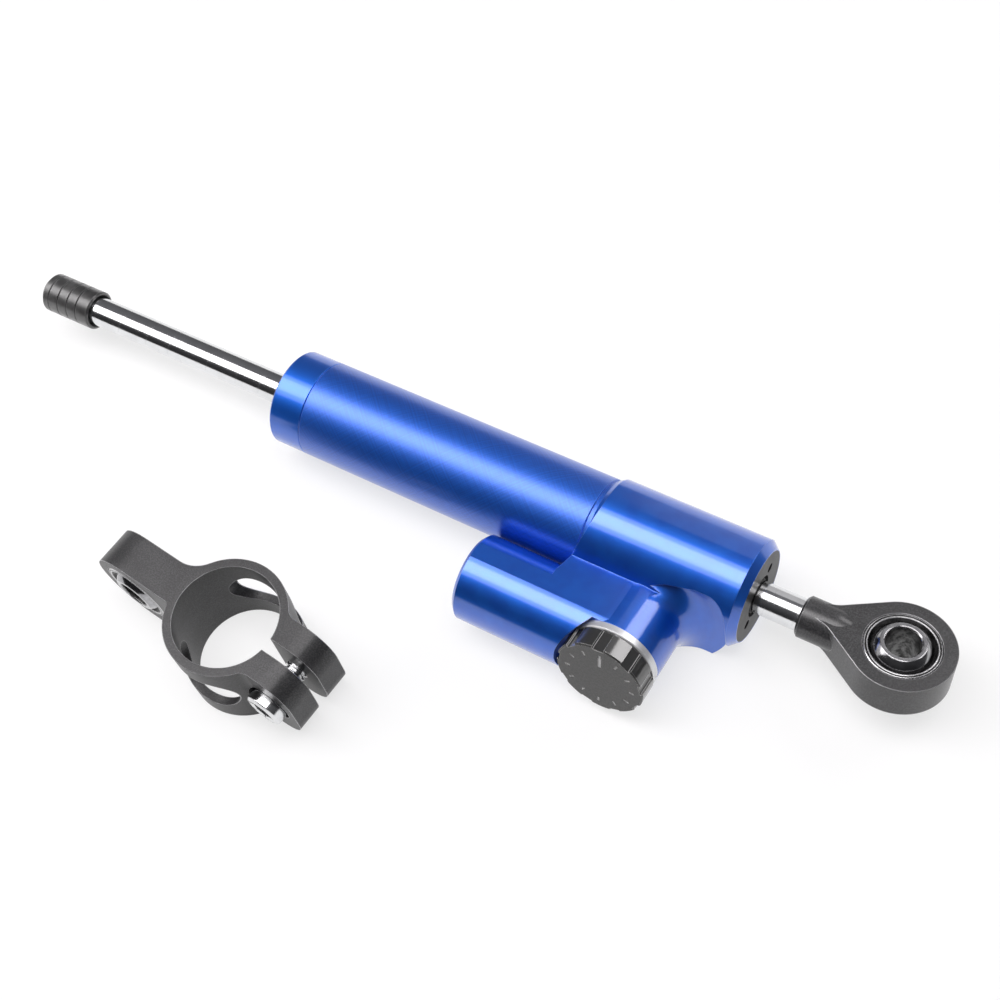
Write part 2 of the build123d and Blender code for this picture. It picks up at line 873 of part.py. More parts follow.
def floating_piston():
    groove_x = float_x + float_groove_start
    end = float_x + float_length
    return turned([
        (float_x, 0),
        (float_x, float_radius),
        (groove_x, float_radius),
        (groove_x, float_groove_radius),
        (groove_x + float_groove_width, float_groove_radius),
        (groove_x + float_groove_width, float_radius),
        (end, float_radius),
        (end, float_dish_radius),
        (end - float_dish_depth, float_dish_radius - float_dish_depth),
        (end - float_dish_depth, 0),
    ], chamber_plane)


def bezel_ring():
    with BuildPart() as bezel:
        add(turned([
            (boss_height, retainer_radius + seat_gap),
            (boss_height, boss_radius),
            (bezel_top - bezel_bevel, boss_radius),
            (bezel_top, boss_radius - bezel_bevel),
            (bezel_top, bezel_counterbore_radius),
            (bezel_top - bezel_counterbore_depth, bezel_counterbore_radius),
            (bezel_top - bezel_counterbore_depth, retainer_radius + seat_gap),
        ], valve_plane))
        with BuildSketch(Plane.XZ.offset(boss_height)):
            with Locations((boss_x, -chamber_drop + detent_circle_radius)):
                Circle(detent_pocket_radius)
        extrude(amount=bezel_height, mode=Mode.SUBTRACT)
    return bezel.part


def spindle_retainer():
    inner = spindle_radius + slip_gap
    return turned([
        (retainer_seat, inner),
        (retainer_seat, retainer_radius),
        (bezel_top - bezel_counterbore_depth, retainer_radius),
        (bezel_top - bezel_counterbore_depth, retainer_flange_radius),
        (bezel_top, retainer_flange_radius),
        (bezel_top, inner),
    ], valve_plane)


def knob_spindle():
    groove = spindle_cup_seat + spindle_groove_start
    flange = spindle_flange_seat + seat_gap
    thread_top = spindle_cup_seat + spindle_thread_length
    return turned([
        (spindle_cup_seat + seat_gap, spindle_thread_radius),
        (spindle_cup_seat + seat_gap, spindle_cup_radius),
        (groove, spindle_cup_radius),
        (groove, spindle_groove_radius),
        (groove + spindle_groove_width, spindle_groove_radius),
        (groove + spindle_groove_width, spindle_cup_radius),
        (flange, spindle_cup_radius),
        (flange, spindle_flange_radius),
        (retainer_seat - seat_gap, spindle_flange_radius),
        (retainer_seat - seat_gap, spindle_radius),
        (knob_top - spindle_top_gap, spindle_radius),
        (knob_top - spindle_top_gap, 0),
        (thread_top, 0),
        (thread_top, spindle_thread_radius),
    ], valve_plane)


def metering_needle():
    with BuildPart() as needle:
        add(turned([
            (needle_tip, 0),
            (needle_tip, needle_tip_radius),
            (needle_collar_base, needle_cone_radius),
            (needle_shank_base, needle_cone_radius),
            (needle_shank_base, needle_shank_radius),
            (needle_shank_top, needle_shank_radius),
            (needle_shank_top, 0),
        ], valve_plane))
        with BuildSketch(Plane.XZ.offset(needle_collar_base)):
            with Locations((boss_x, -chamber_drop)):
                SlotOverall(needle_collar_length, needle_collar_width)
        extrude(amount=needle_collar_top - needle_collar_base)
    return needle.part


def detent_spring():
    top = detent_centre - detent_ball_radius - detent_wire_radius - detent_seat_gap
    base = boss_height - detent_pocket_depth + detent_wire_radius + detent_seat_gap
    pitch = (top - base) / detent_coil_count
    foot = (boss_x, -base, -chamber_drop + detent_circle_radius)
    with BuildPart() as spring:
        with BuildLine():
            coil = Helix(pitch, top - base, detent_coil_radius, center=foot, direction=(0, -1, 0))
        with BuildSketch(Plane(origin=coil @ 0, z_dir=coil % 0)):
            Circle(detent_wire_radius)
        sweep()
    print("detent spring: least gap between curls", round(pitch - detent_wire_radius - detent_wire_radius, 2))
    return spring.part


def detent_ball():
    with BuildPart() as ball:
        with Locations((boss_x, -detent_centre, -chamber_drop + detent_circle_radius)):
            Sphere(detent_ball_radius)
    return ball.part


def knob_edge_groove():
    with BuildPart() as groove:
        with BuildSketch(Plane.XZ.offset(knob_base - overrun)):
            with Locations((boss_x, -chamber_drop)):
                with PolarLocations(knob_radius, knob_lobe_count, start_angle=knob_lobe_angle):
                    RectangleRounded(
                        knob_groove_depth + knob_groove_depth, knob_groove_width, knob_groove_corner)
        extrude(amount=knob_thickness + overrun + overrun)
    return groove.part


def dial_marks():
    with BuildPart() as marks:
        with BuildSketch(Plane.XZ.offset(knob_top - dial_tick_depth)):
            with Locations((boss_x, -chamber_drop)):
                with PolarLocations((dial_radius + dial_inner_radius) / 2, dial_tick_count):
                    Rectangle(dial_radius - dial_inner_radius, dial_tick_width)
            with Locations((boss_x, -chamber_drop + dial_mark_start)):
                Rectangle(dial_mark_width, dial_mark_length, align=(Align.CENTER, Align.MIN))
        extrude(amount=dial_tick_depth + overrun)
    return marks.part


def adjuster_knob():
    bore = spindle_radius + fit_gap
    with BuildPart() as knob:
        add(turned([
            (knob_base, bore),
            (knob_base, knob_radius - knob_bevel),
            (knob_base + knob_bevel, knob_radius),
            (knob_top - knob_bevel, knob_radius),
            (knob_top, knob_radius - knob_bevel),
            (knob_top, 0),
            (knob_top - spindle_top_gap + seat_gap, 0),
            (knob_top - spindle_top_gap + seat_gap, bore),
        ], valve_plane))
        add(knob_edge_groove(), mode=Mode.SUBTRACT)
        add(dial_marks(), mode=Mode.SUBTRACT)
        add(
            o_ring(valve_plane, detent_centre, detent_circle_radius - detent_track_radius, detent_track_radius),
            mode=Mode.SUBTRACT,
        )
        with BuildSketch(Plane.XZ.offset(knob_base)):
            with Locations((boss_x, -chamber_drop)):
                with PolarLocations(detent_circle_radius, detent_pit_count):
                    Circle(detent_pit_radius)
        extrude(amount=detent_pit_depth, mode=Mode.SUBTRACT)
        add(grub_cut(), mode=Mode.SUBTRACT)
    return knob.part


def grub_plane():
    middle = (knob_base + knob_top) / 2
    return Plane(origin=(boss_x, -middle, -chamber_drop), x_dir=(0, -1, 0), z_dir=(-1, 0, 0))


def grub_cut():
    with BuildPart() as hole:
        with BuildSketch(grub_plane().offset(spindle_radius)):
            Circle(grub_radius + fit_gap)
        extrude(amount=knob_radius)
    return hole.part


def knob_grub_screw():
    with BuildPart() as screw:
        with BuildSketch(grub_plane().offset(grub_start)):
            Circle(grub_radius)
        extrude(amount=grub_length)
        with BuildSketch(grub_plane().offset(grub_start + grub_length)):
            RegularPolygon(grub_socket_flats / 2, 6, major_radius=False)
        extrude(amount=-grub_socket_depth, mode=Mode.SUBTRACT)
    return screw.part


def clamp_ring():
    ear_reach = ear_distance + clamp_height / 2
    with BuildPart() as ring:
        with BuildSketch(clamp_plane.offset(-clamp_height / 2)):
            Circle(clamp_outer_radius)
            Rectangle(ear_reach, ear_thickness, align=(Align.MIN, Align.CENTER))
            Rectangle(lug_reach, lug_thickness, align=(Align.MAX, Align.CENTER))
            ear_root = vertices().filter_by(lambda v: 0 < v.X < ear_distance).sort_by(Axis.Y)
            fillet(ear_root[0], ear_root_round)
            ear_root = vertices().filter_by(lambda v: 0 < v.X < ear_distance).sort_by(Axis.Y)
            fillet(ear_root[-1], ear_front_round)
            fillet(vertices().filter_by(lambda v: -clamp_outer_radius < v.X < -clamp_wall), lug_root_round)
        extrude(amount=clamp_height)
        with BuildSketch(clamp_side_plane.offset(-lug_thickness)):
            with Locations(((ear_reach - lug_reach) / 2, 0)):
                Rectangle(ear_reach + lug_reach, clamp_height)
            fillet(vertices().group_by(Axis.X)[-1], clamp_height / 2 - fit_gap)
            fillet(vertices().group_by(Axis.X)[0], lug_end_round)
        extrude(amount=lug_thickness + lug_thickness, mode=Mode.INTERSECT)
        with BuildSketch(clamp_plane):
            Circle(clamp_bore_radius)
            Rectangle(lug_reach + overrun, clamp_gap, align=(Align.MAX, Align.CENTER))
        extrude(amount=clamp_height, both=True, mode=Mode.SUBTRACT)
        with BuildSketch(clamp_side_plane):
            SlotOverall(window_length, window_height)
            with Locations((ear_distance, 0)):
                Circle(race_radius + fit_gap)
        extrude(amount=lug_thickness, both=True, mode=Mode.SUBTRACT)
        add(sleeve(-lug_thickness, 0, 0, bolt_radius + fit_gap, bolt_plane), mode=Mode.SUBTRACT)
        add(sleeve(0, lug_thickness, 0, bolt_hole_radius, bolt_plane), mode=Mode.SUBTRACT)
        add(
            sleeve(bolt_head_top - bolt_head_height, lug_thickness, 0, bolt_recess_radius, bolt_plane),
            mode=Mode.SUBTRACT,
        )
    return ring.part


def clamp_bolt():
    seat = bolt_head_top - bolt_head_height
    with BuildPart() as bolt:
        add(turned([
            (-bolt_tip_reach, 0),
            (-bolt_tip_reach, bolt_radius - bolt_tip_bevel),
            (-bolt_tip_reach + bolt_tip_bevel, bolt_radius),
            (seat, bolt_radius),
            (seat, bolt_head_radius),
            (bolt_head_top - bolt_head_bevel, bolt_head_radius),
            (bolt_head_top, bolt_head_radius - bolt_head_bevel),
            (bolt_head_top, 0),
        ], bolt_plane))
        with BuildSketch(bolt_side_plane.offset(bolt_head_top)):
            RegularPolygon(bolt_socket_flats / 2, 6, major_radius=False)
        extrude(amount=-bolt_socket_depth, mode=Mode.SUBTRACT)
    return bolt.part


end_seal_x = end_x + wiper_depth
end_seal_end_x = end_x + end_seal_bore_depth
end_oring_x = band_x + end_groove_start + end_groove_width / 2
front_oring_x = head_x + spigot_groove_start + spigot_groove_width / 2
plug_oring_x = chamber_x + plug_groove_start + plug_groove_width / 2
float_oring_x = float_x + float_groove_start + float_groove_width / 2
spindle_oring_at = spindle_cup_seat + spindle_groove_start + spindle_groove_width / 2

write(damper_body(), "damper_body")
write(barrel_tube(), "barrel_tube")
write(barrel_end_gland(), "barrel_end_gland")
write(sleeve(end_seal_end_x, end_seal_end_x + end_bush_length, rod_radius + slip_gap, end_bush_radius),
      "rear_rod_bush")
write(rod_seal(end_seal_end_x, end_seal_x, end_seal_bore_radius - fit_gap), "rear_rod_seal")
write(rod_wiper(end_x + wiper_inset, end_seal_x, end_seal_bore_radius - fit_gap, -1), "rear_rod_wiper")
write(o_ring(damper_plane, end_oring_x, end_groove_radius + fit_gap, end_oring_section_radius),
      "rear_barrel_oring")
write(o_ring(damper_plane, front_oring_x, spigot_groove_radius + fit_gap, spigot_oring_section_radius),
      "front_barrel_oring")
write(front_gland_nut(), "front_gland_nut")
write(sleeve(bush_x, seal_x, rod_radius + slip_gap, front_bush_radius), "front_rod_bush")
write(rod_seal(seal_x, gland_end_x, front_seal_radius), "front_rod_seal")
write(rod_wiper(plate_x - wiper_inset - wiper_inset, plate_x - front_wiper_depth, front_wiper_radius, 1),
      "front_rod_wiper")
write(chamber_plug(), "chamber_plug")
write(o_ring(chamber_plane, plug_oring_x, plug_groove_radius + fit_gap, plug_oring_section_radius),
      "chamber_plug_oring")
write(floating_piston(), "floating_piston")
write(o_ring(chamber_plane, float_oring_x, float_groove_radius + fit_gap, float_oring_section_radius),
      "floating_piston_oring")
write(piston_rod(), "piston_rod")
write(piston(), "piston")
write(piston_ring(), "piston_ring")
write(piston_clip(piston_x - clip_width), "rear_piston_clip")
write(piston_clip(piston_front_x), "front_piston_clip")
write(rubber_end_cap(), "rubber_end_cap")
write(rod_eye_housing(), "rod_eye_housing")
write(race(eye_plane, race_width), "rod_eye_race")
write(spherical_ball(eye_plane), "rod_eye_ball")
write(bezel_ring(), "bezel_ring")
write(spindle_retainer(), "spindle_retainer")
write(knob_spindle(), "knob_spindle")
write(o_ring(valve_plane, spindle_oring_at, spindle_groove_radius + fit_gap, spindle_oring_section_radius),
      "spindle_oring")
write(metering_needle(), "metering_needle")
write(detent_ball(), "detent_ball")
write(detent_spring(), "detent_spring")
write(adjuster_knob(), "adjuster_knob")
write(knob_grub_screw(), "knob_grub_screw")
write(clamp_ring(), "clamp_ring", lean=False)
write(race(clamp_ball_plane, clamp_race_width), "clamp_race", lean=False)
write(spherical_ball(clamp_ball_plane), "clamp_ball", lean=False)
write(clamp_bolt(), "clamp_bolt", lean=False)
print("lean of the damper, degrees:", round(lie_angle, 3))
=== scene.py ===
import math

import bmesh
import bpy
from bpy.props import FloatProperty, FloatVectorProperty, IntProperty, PointerProperty
from mathutils import Euler, Matrix, Vector


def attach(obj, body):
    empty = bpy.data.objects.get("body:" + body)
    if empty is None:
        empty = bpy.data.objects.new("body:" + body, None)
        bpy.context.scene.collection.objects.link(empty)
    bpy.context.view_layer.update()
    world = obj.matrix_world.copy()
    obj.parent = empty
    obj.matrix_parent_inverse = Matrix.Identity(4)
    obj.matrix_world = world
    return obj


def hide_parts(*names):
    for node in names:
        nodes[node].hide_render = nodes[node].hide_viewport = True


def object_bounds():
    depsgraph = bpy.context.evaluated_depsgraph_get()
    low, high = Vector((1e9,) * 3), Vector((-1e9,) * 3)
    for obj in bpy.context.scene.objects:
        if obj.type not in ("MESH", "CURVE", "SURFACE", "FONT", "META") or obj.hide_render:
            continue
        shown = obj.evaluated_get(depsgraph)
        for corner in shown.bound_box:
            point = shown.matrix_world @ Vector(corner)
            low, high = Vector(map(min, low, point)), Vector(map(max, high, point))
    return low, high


bl_info = {
    "name": "Steering Damper Finisher",
    "version": (1, 0, 0),
    "blender": (4, 5, 0),
    "location": "3D View > Sidebar > Damper",
    "description": "Dresses a steering damper and its frame clamp with machined, anodised and moulded finishes",
    "category": "Object",
}

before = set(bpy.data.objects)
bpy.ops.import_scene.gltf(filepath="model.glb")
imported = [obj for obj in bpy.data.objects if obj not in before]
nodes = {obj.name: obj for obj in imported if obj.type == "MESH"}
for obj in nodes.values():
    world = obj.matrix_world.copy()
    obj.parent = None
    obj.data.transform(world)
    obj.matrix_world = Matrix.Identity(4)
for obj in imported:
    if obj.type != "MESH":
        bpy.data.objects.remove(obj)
cad_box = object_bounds()

MM = 0.001
LEAN = math.radians(12.076)
DAMPER_TURN = (-LEAN, 0.0, 0.0)
VALVE_TURN = (math.pi / 2 - LEAN, 0.0, 0.0)
CLAMP_ANGLE = math.radians(-6.7)


def leaned(x, y, z):
    """A place in the damper's own frame, in millimetres, as the model has it."""
    return Euler(DAMPER_TURN).to_matrix() @ (Vector((x, y, z)) * MM)


CHAMBER_AXIS = leaned(0.0, -22.65, -7.3)
VALVE_FOOT = leaned(-57.9, 0.0, -7.3)
CLAMP_CENTRE = Vector((-141.0, -63.6, -1.65)) * MM
TO_EAR = Vector((-math.cos(CLAMP_ANGLE), -math.sin(CLAMP_ANGLE), 0.0))
TO_FRONT = Vector((math.sin(CLAMP_ANGLE), -math.cos(CLAMP_ANGLE), 0.0))
CLAMP_EAR = CLAMP_CENTRE + TO_EAR * 30.3 * MM
EAR_TURN = (math.pi / 2, 0.0, CLAMP_ANGLE)
CLAMP_BOLT = CLAMP_CENTRE - TO_EAR * 17.5 * MM
EYE_CENTRE = (0.0, 0.0, 0.0)
ROUND_DAMPER = (-LEAN, math.pi / 2, 0.0)

# Places on the solids where a finish changes
TUBE_RADIUS = 12.5 * MM
BOSS_START = 11.8 * MM
BOSS_REACH = 11.3 * MM
BOSS_ROOT = (8.0 * MM, 10.0 * MM, 14.0 * MM, 20.0 * MM)
KNOB_FACE = 33.6 * MM
TICK_BAND = (33.72 * MM, 33.85 * MM)
TICK_REACH = 9.3 * MM
RACE_RIM = (8.35 * MM, 8.65 * MM)
RACE_LIP = (7.6 * MM, 7.85 * MM, 7.95 * MM, 8.2 * MM)
BALL_BORE = (4.05 * MM, 4.2 * MM)


# Settings

class DamperSizes(bpy.types.PropertyGroup):
    """Sizes of the small detail that the finishes and the added pieces have."""
    edge_width: FloatProperty(
        name="Edge width", description="How far a broken edge reaches on each side",
        default=0.00028, min=0.0, unit="LENGTH")
    hatch_pitch: FloatProperty(
        name="Hatch pitch", description="Distance between the crossed turning lines on the barrel",
        default=0.0006, min=0.0001, unit="LENGTH")
    turning_pitch: FloatProperty(
        name="Turning pitch", description="Distance between plain turning lines",
        default=0.0004, min=0.0001, unit="LENGTH")
    blast_grain: FloatProperty(
        name="Blast grain", description="Size of the dimples left by bead blasting",
        default=0.00035, min=0.0001, unit="LENGTH")
    neck_blend: FloatProperty(
        name="Neck blend", description="Length of the run from the rod eye's collar down to its flat",
        default=0.0044, min=0.0001, unit="LENGTH")
    thread_pitch: FloatProperty(
        name="Thread pitch", description="Pitch of the clamp bolt's thread",
        default=0.001, min=0.0002, unit="LENGTH")
    thread_depth: FloatProperty(
        name="Thread depth", description="Depth of the clamp bolt's thread",
        default=0.00055, min=0.0, unit="LENGTH")
    bolt_facets: IntProperty(
        name="Bolt facets", description="Steps round the clamp bolt",
        default=48, min=12, max=96)


class DamperColours(bpy.types.PropertyGroup):
    """Colours of the damper's finishes."""
    blue: FloatVectorProperty(
        name="Blue", description="Anodised blue of the barrel and the body",
        default=(0.005, 0.118, 0.62), min=0.0, max=1.0, subtype="COLOR")
    black: FloatVectorProperty(
        name="Black", description="Blasted black of the rod eye and the clamp",
        default=(0.026, 0.026, 0.027), min=0.0, max=1.0, subtype="COLOR")
    knob: FloatVectorProperty(
        name="Knob", description="Satin black of the adjuster knob",
        default=(0.035, 0.035, 0.034), min=0.0, max=1.0, subtype="COLOR")
    bare: FloatVectorProperty(
        name="Bare metal", description="Turned aluminium without a coat",
        default=(0.82, 0.83, 0.84), min=0.0, max=1.0, subtype="COLOR")
    chrome: FloatVectorProperty(
        name="Chrome", description="Ground chrome of the rod and polish of the bolt",
        default=(0.78, 0.79, 0.8), min=0.0, max=1.0, subtype="COLOR")
    rubber: FloatVectorProperty(
        name="Rubber", description="Moulded black rubber",
        default=(0.01, 0.01, 0.01), min=0.0, max=1.0, subtype="COLOR")
    bronze: FloatVectorProperty(
        name="Bronze", description="Rod bushes",
        default=(0.58, 0.36, 0.15), min=0.0, max=1.0, subtype="COLOR")
    paint: FloatVectorProperty(
        name="Dial paint", description="Filling of the dial's ticks",
        default=(0.5, 0.5, 0.5), min=0.0, max=1.0, subtype="COLOR")


class DamperStudio(bpy.types.PropertyGroup):
    """Floor, lamps and camera."""
    floor: FloatVectorProperty(
        name="Floor", description="Colour of the floor",
        default=(0.88, 0.88, 0.885), min=0.0, max=1.0, subtype="COLOR")
    top_power: FloatProperty(
        name="Top lamp", description="Power of the long soft box overhead",
        default=4.6, min=0.0, unit="POWER")
    core_power: FloatProperty(
        name="Core lamp", description="Power of the narrow bright box below the soft one",
        default=3.0, min=0.0, unit="POWER")
    right_power: FloatProperty(
        name="Right lamp", description="Power of the small soft box behind the eye, which lights the valve",
        default=0.75, min=0.0, unit="POWER")
    lamp_tint: FloatVectorProperty(
        name="Lamp tint", description="Colour of the lamps",
        default=(1.0, 0.975, 0.985), min=0.0, max=1.0, subtype="COLOR")
    side_power: FloatProperty(
        name="Side lamps", description="Power of each soft side lamp",
        default=0.7, min=0.0, unit="POWER")
    lens: FloatProperty(
        name="Lens", description="Focal length of the camera",
        default=58.27, min=10.0, subtype="DISTANCE_CAMERA")


# Shader tools

class Link:
    """A shader socket that takes part in plain arithmetic."""

    def __init__(self, finish, socket):
        self.finish = finish
        self.socket = socket

    def math(self, operation, *values):
        return self.finish.node("ShaderNodeMath", {"operation": operation}, dict(enumerate(values)))

    def __add__(self, other):
        return self.math("ADD", self, other)

    def __radd__(self, other):
        return self.math("ADD", other, self)

    def __sub__(self, other):
        return self.math("SUBTRACT", self, other)

    def __rsub__(self, other):
        return self.math("SUBTRACT", other, self)

    def __mul__(self, other):
        return self.math("MULTIPLY", self, other)

    def __rmul__(self, other):
        return self.math("MULTIPLY", other, self)

    def __gt__(self, other):
        return self.math("GREATER_THAN", self, other)

    def __lt__(self, other):
        return self.math("LESS_THAN", self, other)

    def ramp(self, low, high):
        """0 at the low value, 1 at the high one, smooth between."""
        return self.finish.node(
            "ShaderNodeMapRange", {"interpolation_type": "SMOOTHSTEP"},
            {"Value": self, "From Min": low, "From Max": high})

    def band(self, start, full, fading, end):
        """0 outside the band, 1 well inside it, smooth between."""
        return self.ramp(start, full) * (1.0 - self.ramp(fading, end))

    def part(self, name):
        """Another output of the same node."""
        return Link(self.finish, self.socket.node.outputs[name])


class Finish:
    """One finish, built node by node, on a material or on the world."""

    def __init__(self, name, world=False):
        self.material = bpy.data.worlds.new(name) if world else bpy.data.materials.new(name)
        self.material.use_nodes = True
        self.tree = self.material.node_tree
        self.tree.nodes.clear()
        self.tint = bpy.context.scene.damper_colours
        self.size = bpy.context.scene.damper_sizes
        self.coordinates = self.node("ShaderNodeTexCoord", {}, {}).part("Generated" if world else "Object")

    def node(self, kind, settings, sockets):
        """Adds a node: its settings first, then the values and links of its sockets."""
        made = self.tree.nodes.new(kind)
        for name, value in settings.items():
            setattr(made, name, value)
        for key, value in sockets.items():
            if isinstance(value, Link):
                self.tree.links.new(value.socket, made.inputs[key])
            else:
                made.inputs[key].default_value = value
        return Link(self, made.outputs[0]) if made.outputs else None

    def local(self, centre, turn):
        """Coordinates in metres from a centre, in a turned frame."""
        return self.node(
            "ShaderNodeMapping", {"vector_type": "TEXTURE"},
            {"Vector": self.coordinates, "Location": tuple(centre), "Rotation": tuple(turn)})

    def split(self, vector):
        """The three parts of a vector."""
        made = self.node("ShaderNodeSeparateXYZ", {}, {0: vector})
        return made, made.part("Y"), made.part("Z")

    def noise(self, vector, size, detail=2.0, roughness=0.5):
        """Soft cloudy noise whose blobs are about this size."""
        return self.node(
            "ShaderNodeTexNoise", {},
            {"Vector": vector, "Scale": 1 / size, "Detail": detail, "Roughness": roughness})

    def lines(self, along, pitch, detail=1.0):
        """Noise that changes along one value only, as lines about this far apart."""
        return self.node(
            "ShaderNodeTexNoise", {"noise_dimensions": "1D"},
            {"W": along, "Scale": 1 / pitch, "Detail": detail})

    def mix(self, share, first, second):
        """A colour between two others."""
        made = self.node(
            "ShaderNodeMix", {"data_type": "RGBA"}, {0: share, 6: colour(first), 7: colour(second)})
        return Link(self, made.socket.node.outputs[2])

    def radius(self, first, second):
        """Distance from the axis that the two values are measured from."""
        return self.node("ShaderNodeMath", {"operation": "SQRT"}, {0: first * first + second * second})

    def angle(self, first, second):
        return first.math("ARCTAN2", first, second)

    def soft_edges(self, width):
        """The normal with its edges rounded over, and how near an edge is."""
        rounded = self.node("ShaderNodeBevel", {"samples": 6}, {"Radius": width})
        plain = self.node("ShaderNodeNewGeometry", {}, {}).part("Normal")
        facing = self.node("ShaderNodeVectorMath", {"operation": "DOT_PRODUCT"}, {0: rounded, 1: plain})
        return rounded, (1.0 - facing.part("Value")).ramp(0.015, 0.16)

    def bump(self, height, depth, normal=None, strength=1.0):
        sockets = {"Height": height, "Distance": depth, "Strength": strength}
        if normal is not None:
            sockets["Normal"] = normal
        return self.node("ShaderNodeBump", {}, sockets)

    def surface(self, **values):
        """The shader itself; a keyword is a socket's name with underscores."""
        sockets = {name.replace("_", " "): value for name, value in values.items()}
        shader = self.node("ShaderNodeBsdfPrincipled", {}, sockets)
        self.node("ShaderNodeOutputMaterial", {}, {"Surface": shader})
        return self.material


def colour(value):
    return value if isinstance(value, Link) else (*tuple(value)[:3], 1.0)


def finish_nodes(material, *names):
    """Puts a finish on each named node of the frame."""
    for name in names:
        slots = nodes[name].material_slots
        if len(slots) == 0:
            nodes[name].data.materials.append(material)
        for slot in slots:
            slot.material = material


def piece(name, mesh_maker, body, material):
    """A new object from a bmesh, riding on a body."""
    bm = bmesh.new()
    mesh_maker(bm)
    bmesh.ops.remove_doubles(bm, verts=bm.verts, dist=1e-7)
    bmesh.ops.recalc_face_normals(bm, faces=bm.faces)
    mesh = bpy.data.meshes.new(name)
    bm.to_mesh(mesh)
    bm.free()
    made = bpy.data.objects.new(name, mesh)
    bpy.context.scene.collection.objects.link(made)
    made.data.materials.append(material)
    mesh.shade_smooth()
    mesh.set_sharp_from_angle(angle=math.radians(32))
    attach(made, body)
    return made


# Finishes

# Painted edge highlights (with real wear too on the black parts), painted highlight rings on the races, painted
# shade in the ball bores, marks, and the steels and plastics that no setting holds
BARREL_EDGE_HIGHLIGHT = (0.2, 0.4, 0.95)
BODY_EDGE_HIGHLIGHT = (0.22, 0.42, 0.95)
BLAST_EDGE_WEAR_AND_HIGHLIGHT = (0.5, 0.5, 0.51)
KNOB_EDGE_WEAR_AND_HIGHLIGHT = (0.45, 0.45, 0.44)
GLAND_EDGE_HIGHLIGHT = (0.35, 0.35, 0.36)
HAIRLINE = (0.5, 0.5, 0.52)
RACE_BLACK = (0.02, 0.02, 0.02)
RACE_WORN = (0.05, 0.05, 0.05)
RACE_RING_HIGHLIGHT = (0.8, 0.8, 0.81)
BALL_DARK = (0.3, 0.3, 0.31)
BALL_LIGHT = (0.42, 0.42, 0.43)
BORE_SHADE_DARK = (0.03, 0.03, 0.03)
BORE_SHADE_LIGHT = (0.2, 0.2, 0.2)
BALL_EDGE_HIGHLIGHT = (0.85, 0.85, 0.86)
STEEL_DARK = (0.36, 0.36, 0.37)
STEEL_LIGHT = (0.52, 0.52, 0.53)
RUBBER_BLOOM_AND_RIM_HIGHLIGHT = (0.17, 0.17, 0.17)
PLASTIC_DARK = (0.1, 0.075, 0.045)
PLASTIC_LIGHT = (0.2, 0.15, 0.1)


def blue_turned(name, hatch, coat_roughness):
    """Glossy blue anodising over turned aluminium, with crossed lines on the barrel."""
    f = Finish(name)
    place = f.local(EYE_CENTRE, DAMPER_TURN)
    x, y, z = f.split(place)
    turn = f.angle(z, y)
    drift = f.noise(place, 12 * MM, 2.0) * (0.6 * MM)
    forward = f.lines(x + turn * TUBE_RADIUS + drift, f.size.hatch_pitch)
    backward = f.lines(x - turn * TUBE_RADIUS - drift, f.size.hatch_pitch)
    rings = f.lines(x, f.size.turning_pitch, 3.0)
    mottle = f.noise(place, 4 * MM, 3.0)
    height = (forward + backward) * hatch + rings * 0.35
    rounded, edge = f.soft_edges(f.size.edge_width)
    deep = tuple(c * s for c, s in zip(f.tint.blue, (0.7, 0.78, 0.84)))
    shade = f.mix(((forward + backward) * 0.5).ramp(0.4, 0.6) * hatch, f.tint.blue, deep)
    # The broken edges are painted a lighter blue: a painted highlight along them.
    shade = f.mix(edge * 0.55, shade, BARREL_EDGE_HIGHLIGHT)
    return f.surface(
        Base_Color=shade, Metallic=0.8,
        Roughness=0.34 + hatch * 0.06 + rings * 0.06 + mottle * 0.06,
        Coat_Weight=0.95, Coat_Roughness=coat_roughness, Coat_IOR=1.65,
        Normal=f.bump(height, 0.02 * MM, rounded, 0.7))


def blue_smooth(name):
    """Glossy blue anodising over the machined body, with turning lines on the valve boss."""
    f = Finish(name)
    place = f.local(EYE_CENTRE, DAMPER_TURN)
    boss = f.local(VALVE_FOOT, VALVE_TURN)
    bx, by, bz = f.split(boss)
    x, _, _ = f.split(place)
    on_boss = bz > BOSS_START
    near_boss = f.radius(bx, by) < BOSS_REACH
    boss_share = on_boss * near_boss
    rings = f.lines(bz, 0.7 * MM, 2.0)
    length_lines = f.lines(x, 0.5 * MM, 3.0)
    mottle = f.noise(place, 5 * MM, 3.0)
    grain = f.noise(place, 0.5 * MM, 2.0)
    near_root = bz.band(*BOSS_ROOT)
    turned = rings * (boss_share * 1.5 + near_root * near_boss * 5.0)
    height = turned + length_lines * (1.0 - boss_share) * 0.16 + grain * 0.1
    rounded, edge = f.soft_edges(f.size.edge_width)
    deep = tuple(c * s for c, s in zip(f.tint.blue, (0.8, 0.86, 0.93)))
    shade = f.mix(mottle.ramp(0.35, 0.65), deep, f.tint.blue)
    # The broken edges are painted a lighter blue: a painted highlight along them.
    shade = f.mix(edge * 0.6, shade, BODY_EDGE_HIGHLIGHT)
    return f.surface(
        Base_Color=shade, Metallic=0.8,
        Roughness=0.36 + boss_share * 0.04 + mottle * 0.06,
        Coat_Weight=1.0, Coat_Roughness=0.13, Coat_IOR=1.75,
        Normal=f.bump(height, 0.01 * MM, rounded, 0.8))


